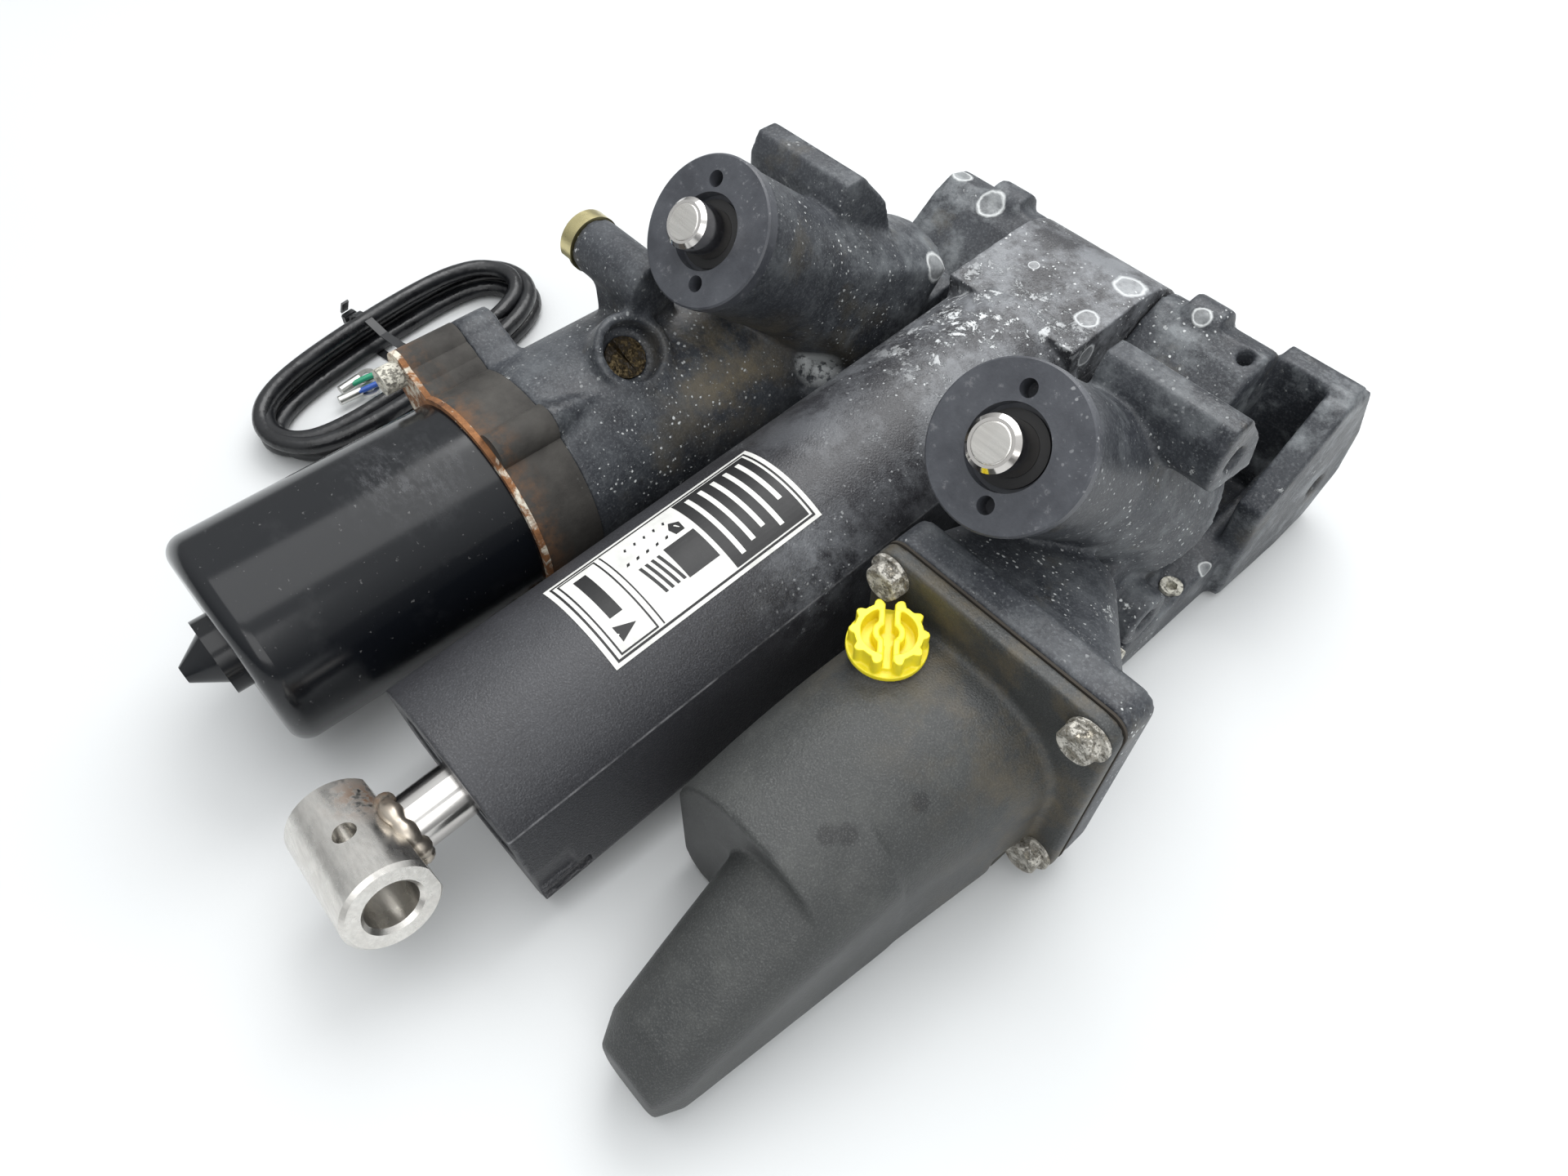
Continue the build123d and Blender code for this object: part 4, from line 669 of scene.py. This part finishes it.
def tube_curve(name, points, radius, slot_name, body=ROOT):
    data = bpy.data.curves.new(name, "CURVE")
    data.dimensions = "3D"
    data.bevel_depth = radius
    data.bevel_resolution = 5
    data.resolution_u = 8
    data.use_fill_caps = True
    spline = data.splines.new("NURBS")
    spline.points.add(len(points) - 1)
    for target, place in zip(spline.points, points):
        target.co = (*place, 1.0)
    spline.order_u = 3
    spline.use_endpoint_u = True
    piece = bpy.data.objects.new(name, data)
    bpy.context.scene.collection.objects.link(piece)
    data.materials.append(surface(slot_name))
    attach(piece, body)
    return piece


def add_harness():
    route = [mm(*place) for place in LEAD_IN] + hank_route()
    tail = ((14.5, 33.0, CABLE_LEVEL + 6.5), (11.0, 18.0, CABLE_LEVEL + 1.5), (7.0, 4.0, CABLE_LEVEL))
    route += [hank_point(*place) for place in tail]
    cable = tube_curve("harness_cord", route, cable_radius, "cable_jacket")
    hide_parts("harness_cable", "harness_hank")
    end = hank_point(7.0, 4.0, CABLE_LEVEL)
    for name, place, side, heading in WIRE_ENDS:
        goal = mm(*place, CABLE_LEVEL + 1.0)
        turn = math.radians(heading)
        back = Vector((-math.sin(turn), math.cos(turn), 0.0))
        # the barrel points away from the eyelet, and the wire bends round into it
        mouth = goal + back * 14.0 * MM
        middle = (end + mouth) / 2 + Vector((side * MM, 0.0, 2.0 * MM))
        inside, barrel = end + Vector((0, 3 * MM, 0)), goal + back * 8 * MM
        tube_curve(name, [inside, end, middle, mouth, barrel], wire_radius, name)
    tie = add_tie()


def strip(name, path, across, width, thickness):
    """A flat band along a closed path of points; across is its width's direction."""
    mesh = bmesh.new()
    rings = []
    count = len(path)
    for index, place in enumerate(path):
        ahead = path[(index + 1) % count] - path[index - 1]
        out = ahead.normalized().cross(across).normalized()
        corners = []
        for side, lift in ((-0.5, 0.0), (-0.42, 1.0), (0.42, 1.0), (0.5, 0.0)):
            corners.append(mesh.verts.new(place + across * side * width + out * lift * thickness))
        rings.append(corners)
    for index in range(count):
        a, b = rings[index], rings[(index + 1) % count]
        for side in range(4):
            mesh.faces.new((a[side], a[(side + 1) % 4], b[(side + 1) % 4], b[side]))
    bmesh.ops.recalc_face_normals(mesh, faces=mesh.faces)
    data = bpy.data.meshes.new(name)
    mesh.to_mesh(data)
    mesh.free()
    return data


def add_tie():
    """Nylon tie drawn round the windings, with its ratchet head and cut tail."""
    outline = (
        (-36.5, -39.9), (-20.0, -40.6), (0.0, -40.6), (20.0, -40.6), (36.5, -39.9), (38.6, -36.0),
        (38.6, -28.0), (37.0, -23.2), (33.0, -22.0), (24.0, -21.6), (12.0, -22.8), (0.0, -23.4),
        (-12.0, -22.8), (-24.0, -18.0), (-32.0, -19.5), (-37.0, -23.2), (-38.6, -28.0), (-38.6, -36.0),
    )
    path = [hank_point(x, 0.0, z) for x, z in outline]
    across = (HANK_PLACE.to_3x3() @ Vector((0.0, 1.0, 0.0))).normalized()
    mesh = strip("harness_strap", path, across, 4.6 * MM, 1.1 * MM)
    shape = bmesh.new()
    shape.from_mesh(mesh)
    head = bmesh.ops.create_cube(shape, size=1.0)["verts"]
    bmesh.ops.scale(shape, vec=(4.4 * MM, 7.6 * MM, 6.4 * MM), verts=head)
    turned = HANK_PLACE.to_3x3().to_4x4()
    bmesh.ops.transform(shape, matrix=turned, verts=head)
    bmesh.ops.translate(shape, vec=hank_point(-40.6, 0.0, -27.0), verts=head)
    edges = {edge for vert in head for edge in vert.link_edges}
    bmesh.ops.bevel(shape, geom=list(edges), offset=0.7 * MM, segments=2, affect="EDGES")
    tail = bmesh.ops.create_cube(shape, size=1.0)["verts"]
    bmesh.ops.scale(shape, vec=(1.1 * MM, 4.2 * MM, 9.0 * MM), verts=tail)
    lean = Matrix.Rotation(math.radians(28.0), 4, "Y")
    bmesh.ops.transform(shape, matrix=turned @ lean, verts=tail)
    bmesh.ops.translate(shape, vec=hank_point(-42.2, 0.0, -20.5), verts=tail)
    shape.to_mesh(mesh)
    shape.free()
    tie = new_piece("harness_strap", mesh, "tie_plastic")
    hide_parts("harness_tie")
    return tie


# ---------------------------------------------------------------- cylinder, weld and fasteners

TILT_FRAME = Matrix.Rotation(TILT_PITCH, 4, "X")


def lathe_rows(name, rows, smooth=True):
    """A closed mesh through rows of points that all have the same length."""
    mesh = bmesh.new()
    made = [[mesh.verts.new(place) for place in row] for row in rows]
    size = len(rows[0])
    for a, b in zip(made, made[1:]):
        for i in range(size):
            j = (i + 1) % size
            mesh.faces.new((a[i], a[j], b[j], b[i]))
    mesh.faces.new(made[0][::-1])
    mesh.faces.new(made[-1])
    bmesh.ops.recalc_face_normals(mesh, faces=mesh.faces)
    data = bpy.data.meshes.new(name)
    mesh.to_mesh(data)
    mesh.free()
    if smooth:
        data.polygons.foreach_set("use_smooth", [True] * len(data.polygons))
    return data


def joined(name, meshes):
    """One mesh from several."""
    whole = bmesh.new()
    for mesh in meshes:
        whole.from_mesh(mesh)
    data = bpy.data.meshes.new(name)
    whole.to_mesh(data)
    whole.free()
    return data


def add_cylinder_skin():
    mesh = moulded_copy("tilt_cylinder_body", 0.0008, 2)
    skin = new_piece("tilt_cylinder_skin", mesh, "cylinder_paint", "tilt_cylinder")
    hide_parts("tilt_cylinder_body")


def add_weld():
    """Hand-laid fillet: overlapping lumps round the rod, worked as one ring."""
    rows = []
    around, profile = 120, 14
    for i in range(around):
        turn = 2 * math.pi * i / around
        lump = abs(math.sin(4.5 * turn + 0.6 * math.sin(2 * turn)))
        drop = noise.noise(Vector((math.cos(turn), math.sin(turn), 3.7)) * 2.3)
        size = (2.5 + 1.0 * lump + 0.8 * drop) * MM
        row = []
        for k in range(profile):
            phase = 2 * math.pi * k / profile
            radial = 11.6 * MM + size * math.cos(phase) * 1.05
            along = (17.0 + 0.9 * drop) * MM + size * math.sin(phase) * 1.15
            row.append(TILT_FRAME @ Vector((radial * math.cos(turn), along, radial * math.sin(turn))))
        rows.append(row)
    mesh = bmesh.new()
    made = [[mesh.verts.new(place) for place in row] for row in rows]
    for i in range(around):
        a, b = made[i], made[(i + 1) % around]
        for k in range(profile):
            j = (k + 1) % profile
            mesh.faces.new((a[k], a[j], b[j], b[k]))
    bmesh.ops.recalc_face_normals(mesh, faces=mesh.faces)
    data = bpy.data.meshes.new("weld_fillet")
    mesh.to_mesh(data)
    mesh.free()
    data.polygons.foreach_set("use_smooth", [True] * len(data.polygons))
    fillet = new_piece("weld_fillet", data, "weld_rust", "tilt_rod")
    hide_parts("weld_bead")


def hex_bolt(centre, spin):
    """Hex head seen from -Y, with a turned chamfer, a shallow dished top and its shank behind."""
    flat, corner = 6.5, 7.35
    rows = []
    for y, limit in ((20.0, 4.0), (0.02, 4.0), (0.0, 99.0), (-3.9, 99.0), (-4.5, 7.15), (-5.1, 6.7),
                     (-5.45, 6.1), (-5.5, 5.2), (-5.2, 4.2), (-5.15, 1.5)):
        row = []
        for i in range(60):
            turn = 2 * math.pi * i / 60
            wedge = (turn % (math.pi / 3)) - math.pi / 6
            reach = min(limit, flat / math.cos(wedge), corner)
            angle = turn + spin
            row.append(centre + mm(reach * math.cos(angle), y, reach * math.sin(angle)))
        rows.append(row)
    return lathe_rows("bolt", rows, smooth=False)


def add_bolts():
    low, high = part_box("reservoir_bolts")
    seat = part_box("reservoir_washers")[0].y
    inset = 7.5 * MM
    places = [(x, z) for x in (low.x + inset, high.x - inset) for z in (low.z + inset, high.z - inset)]
    spins = (0.3, 0.9, 0.55, 0.15)
    bolts = [hex_bolt(Vector((x, seat, z)), spin) for (x, z), spin in zip(places, spins)]
    piece = new_piece("reservoir_bolt_heads", joined("reservoir_bolt_heads", bolts), "weathered_bolt")
    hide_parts("reservoir_bolts")


def prism(shape, outline, low, high):
    """A closed upright solid over a plan outline, in millimetres."""
    bottom = [shape.verts.new(mm(x, y, low)) for x, y in outline]
    top = [shape.verts.new(mm(x, y, high)) for x, y in outline]
    shape.faces.new(bottom[::-1])
    shape.faces.new(top)
    for i in range(len(outline)):
        j = (i + 1) % len(outline)
        shape.faces.new((bottom[i], bottom[j], top[j], top[i]))


def circle(radius, steps=64):
    turns = [2 * math.pi * i / steps for i in range(steps)]
    return [(radius * math.cos(turn), radius * math.sin(turn)) for turn in turns]


def arc_band(outer, inner, start, end, steps=40):
    """Plan outline of a curved wall; outer and inner are radii, or a radius for each angle."""
    turns = [math.radians(start + (end - start) * i / steps) for i in range(steps + 1)]
    far = [(outer(t) * math.cos(t), outer(t) * math.sin(t)) for t in turns]
    near = [(inner * math.cos(t), inner * math.sin(t)) for t in reversed(turns)]
    return far + near


def add_fill_cap():
    """Filler plug: round flange, standing lobes, a coin slot through a ring and two crescent wells."""
    low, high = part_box("fill_cap")
    centre = Vector(((low.x + high.x) / 2, (low.y + high.y) / 2, 0.0))
    base, top = high.z / MM - 9.0, high.z / MM
    shape = bmesh.new()
    prism(shape, circle(14.1), base, base + 2.0)
    prism(shape, circle(11.4), base + 1.0, base + 3.6)
    prism(shape, circle(8.4), low.z / MM, base + 1.0)

    def lobed(turn):
        return 11.7 + 1.9 * max(0.0, math.cos(10 * turn)) ** 0.7

    for side in (0, 180):
        prism(shape, arc_band(lobed, 9.5, side - 80, side + 80, 90), base + 1.0, top)
        prism(shape, arc_band(lambda turn: 5.6, 3.2, side - 62, side + 62), base + 1.0, top - 0.4)
        way = 1 if side == 0 else -1
        for end in (-1, 1):
            corners = ((1.6, 3.4), (3.7, 3.0), (3.7, 11.2), (1.6, 11.6))
            wall = [(way * x, end * y) for x, y in corners]
            prism(shape, wall, base + 1.0, top - 0.2)
    bmesh.ops.recalc_face_normals(shape, faces=shape.faces)
    slot_turn = Matrix.Rotation(math.radians(42.0), 3, "Z")
    bmesh.ops.rotate(shape, cent=(0, 0, 0), matrix=slot_turn, verts=shape.verts)
    bmesh.ops.translate(shape, vec=centre, verts=shape.verts)
    data = bpy.data.meshes.new("cap")
    shape.to_mesh(data)
    shape.free()
    mesh = remeshed(data, 0.00032, 3)
    mesh.name = "fill_cap_moulding"
    cap = new_piece("fill_cap_moulding", mesh, "yellow_plastic", "fill_cap")
    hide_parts("fill_cap")


# ---------------------------------------------------------------- label

LABEL_RADIUS = 43.0

def label_patch(mesh, along, around, lift=0.34, tilt=0.0):
    """A rectangle printed on the label: millimetres along the cylinder, degrees round it."""
    steps = max(2, int(abs(around[1] - around[0]) / 2.5))
    rows = []
    for place in along:
        row = []
        for i in range(steps + 1):
            share = i / steps
            turn = math.radians(around[0] + (around[1] - around[0]) * share)
            radius = (LABEL_RADIUS + lift) * MM
            shift = (share - 0.5) * tilt
            point = Vector((radius * math.sin(turn), (place + shift) * MM, radius * math.cos(turn)))
            row.append(mesh.verts.new(TILT_FRAME @ point))
        rows.append(row)
    for i in range(steps):
        mesh.faces.new((rows[0][i], rows[0][i + 1], rows[1][i + 1], rows[1][i]))


def label_shape(mesh, outline, lift=0.36):
    """A flat-sided figure given as (along, around) corners, bent onto the cylinder."""
    radius = (LABEL_RADIUS + lift) * MM
    verts = []
    for along, around in outline:
        turn = math.radians(around)
        point = Vector((radius * math.sin(turn), along * MM, radius * math.cos(turn)))
        verts.append(mesh.verts.new(TILT_FRAME @ point))
    mesh.faces.new(verts)


def finish_print(mesh, name, slot_name):
    bmesh.ops.recalc_face_normals(mesh, faces=mesh.faces)
    for face in mesh.faces:
        if face.normal.z < 0:
            face.normal_flip()
    data = bpy.data.meshes.new(name)
    mesh.to_mesh(data)
    mesh.free()
    new_piece(name, data, slot_name, "tilt_cylinder")


def frame_lines(mesh, along, around, weight):
    """A drawn rectangle, its lines weight millimetres wide."""
    turn = math.degrees(weight / LABEL_RADIUS)
    label_patch(mesh, (along[0], along[0] + weight), around)
    label_patch(mesh, (along[1] - weight, along[1]), around)
    label_patch(mesh, (along[0] + weight, along[1] - weight), (around[0], around[0] + turn))
    label_patch(mesh, (along[0] + weight, along[1] - weight), (around[1] - turn, around[1]))


def add_label_print():
    """Generic art: ruled frames, a blank notice strip, plain figures, and bars in place of lines."""
    ink = bmesh.new()
    frame_lines(ink, (103.0, 195.0), (-28.0, 28.0), 0.9)
    frame_lines(ink, (105.5, 122.0), (-26.0, 26.0), 0.7)
    label_shape(ink, ((109.0, 21.5), (109.0, 13.0), (117.0, 17.2)))
    label_patch(ink, (110.5, 116.0), (-21.0, 9.0))
    label_patch(ink, (158.0, 193.0), (-26.0, 26.0))
    label_patch(ink, (124.0, 124.6), (-26.0, 26.0))
    for index in range(4):
        label_patch(ink, (131.0 + 2.7 * index, 132.3 + 2.7 * index), (-3.0, 15.0), tilt=1.6)
    label_patch(ink, (142.0, 156.0), (-4.0, 16.0))
    for index in range(5):
        start = 128.0 + 4.4 * index
        corners = ((0.0, -8.0), (1.4, -8.2), (5.2, -19.0), (4.4, -19.4))
        label_shape(ink, [(start + along, around) for along, around in corners])
    label_shape(ink, ((150.0, -7.0), (154.0, -7.0), (154.6, -13.0), (151.2, -16.0), (149.2, -12.0)))
    finish_print(ink, "label_ink", "label_ink")
    pale = bmesh.new()
    for index in range(5):
        start = 162.5 + 6.2 * index
        ends = (-22.5, 22.0 - (11.0 if index == 4 else 2.5 * (index % 3)))
        label_patch(pale, (start, start + 2.1), ends, lift=0.42)
    finish_print(pale, "label_bars", "label_film")


# ---------------------------------------------------------------- build

add_camera()
paint_frame()
add_casting()
add_tank()
add_cylinder_skin()
add_harness()
add_weld()
add_bolts()
add_fill_cap()
add_label_print()
add_studio()
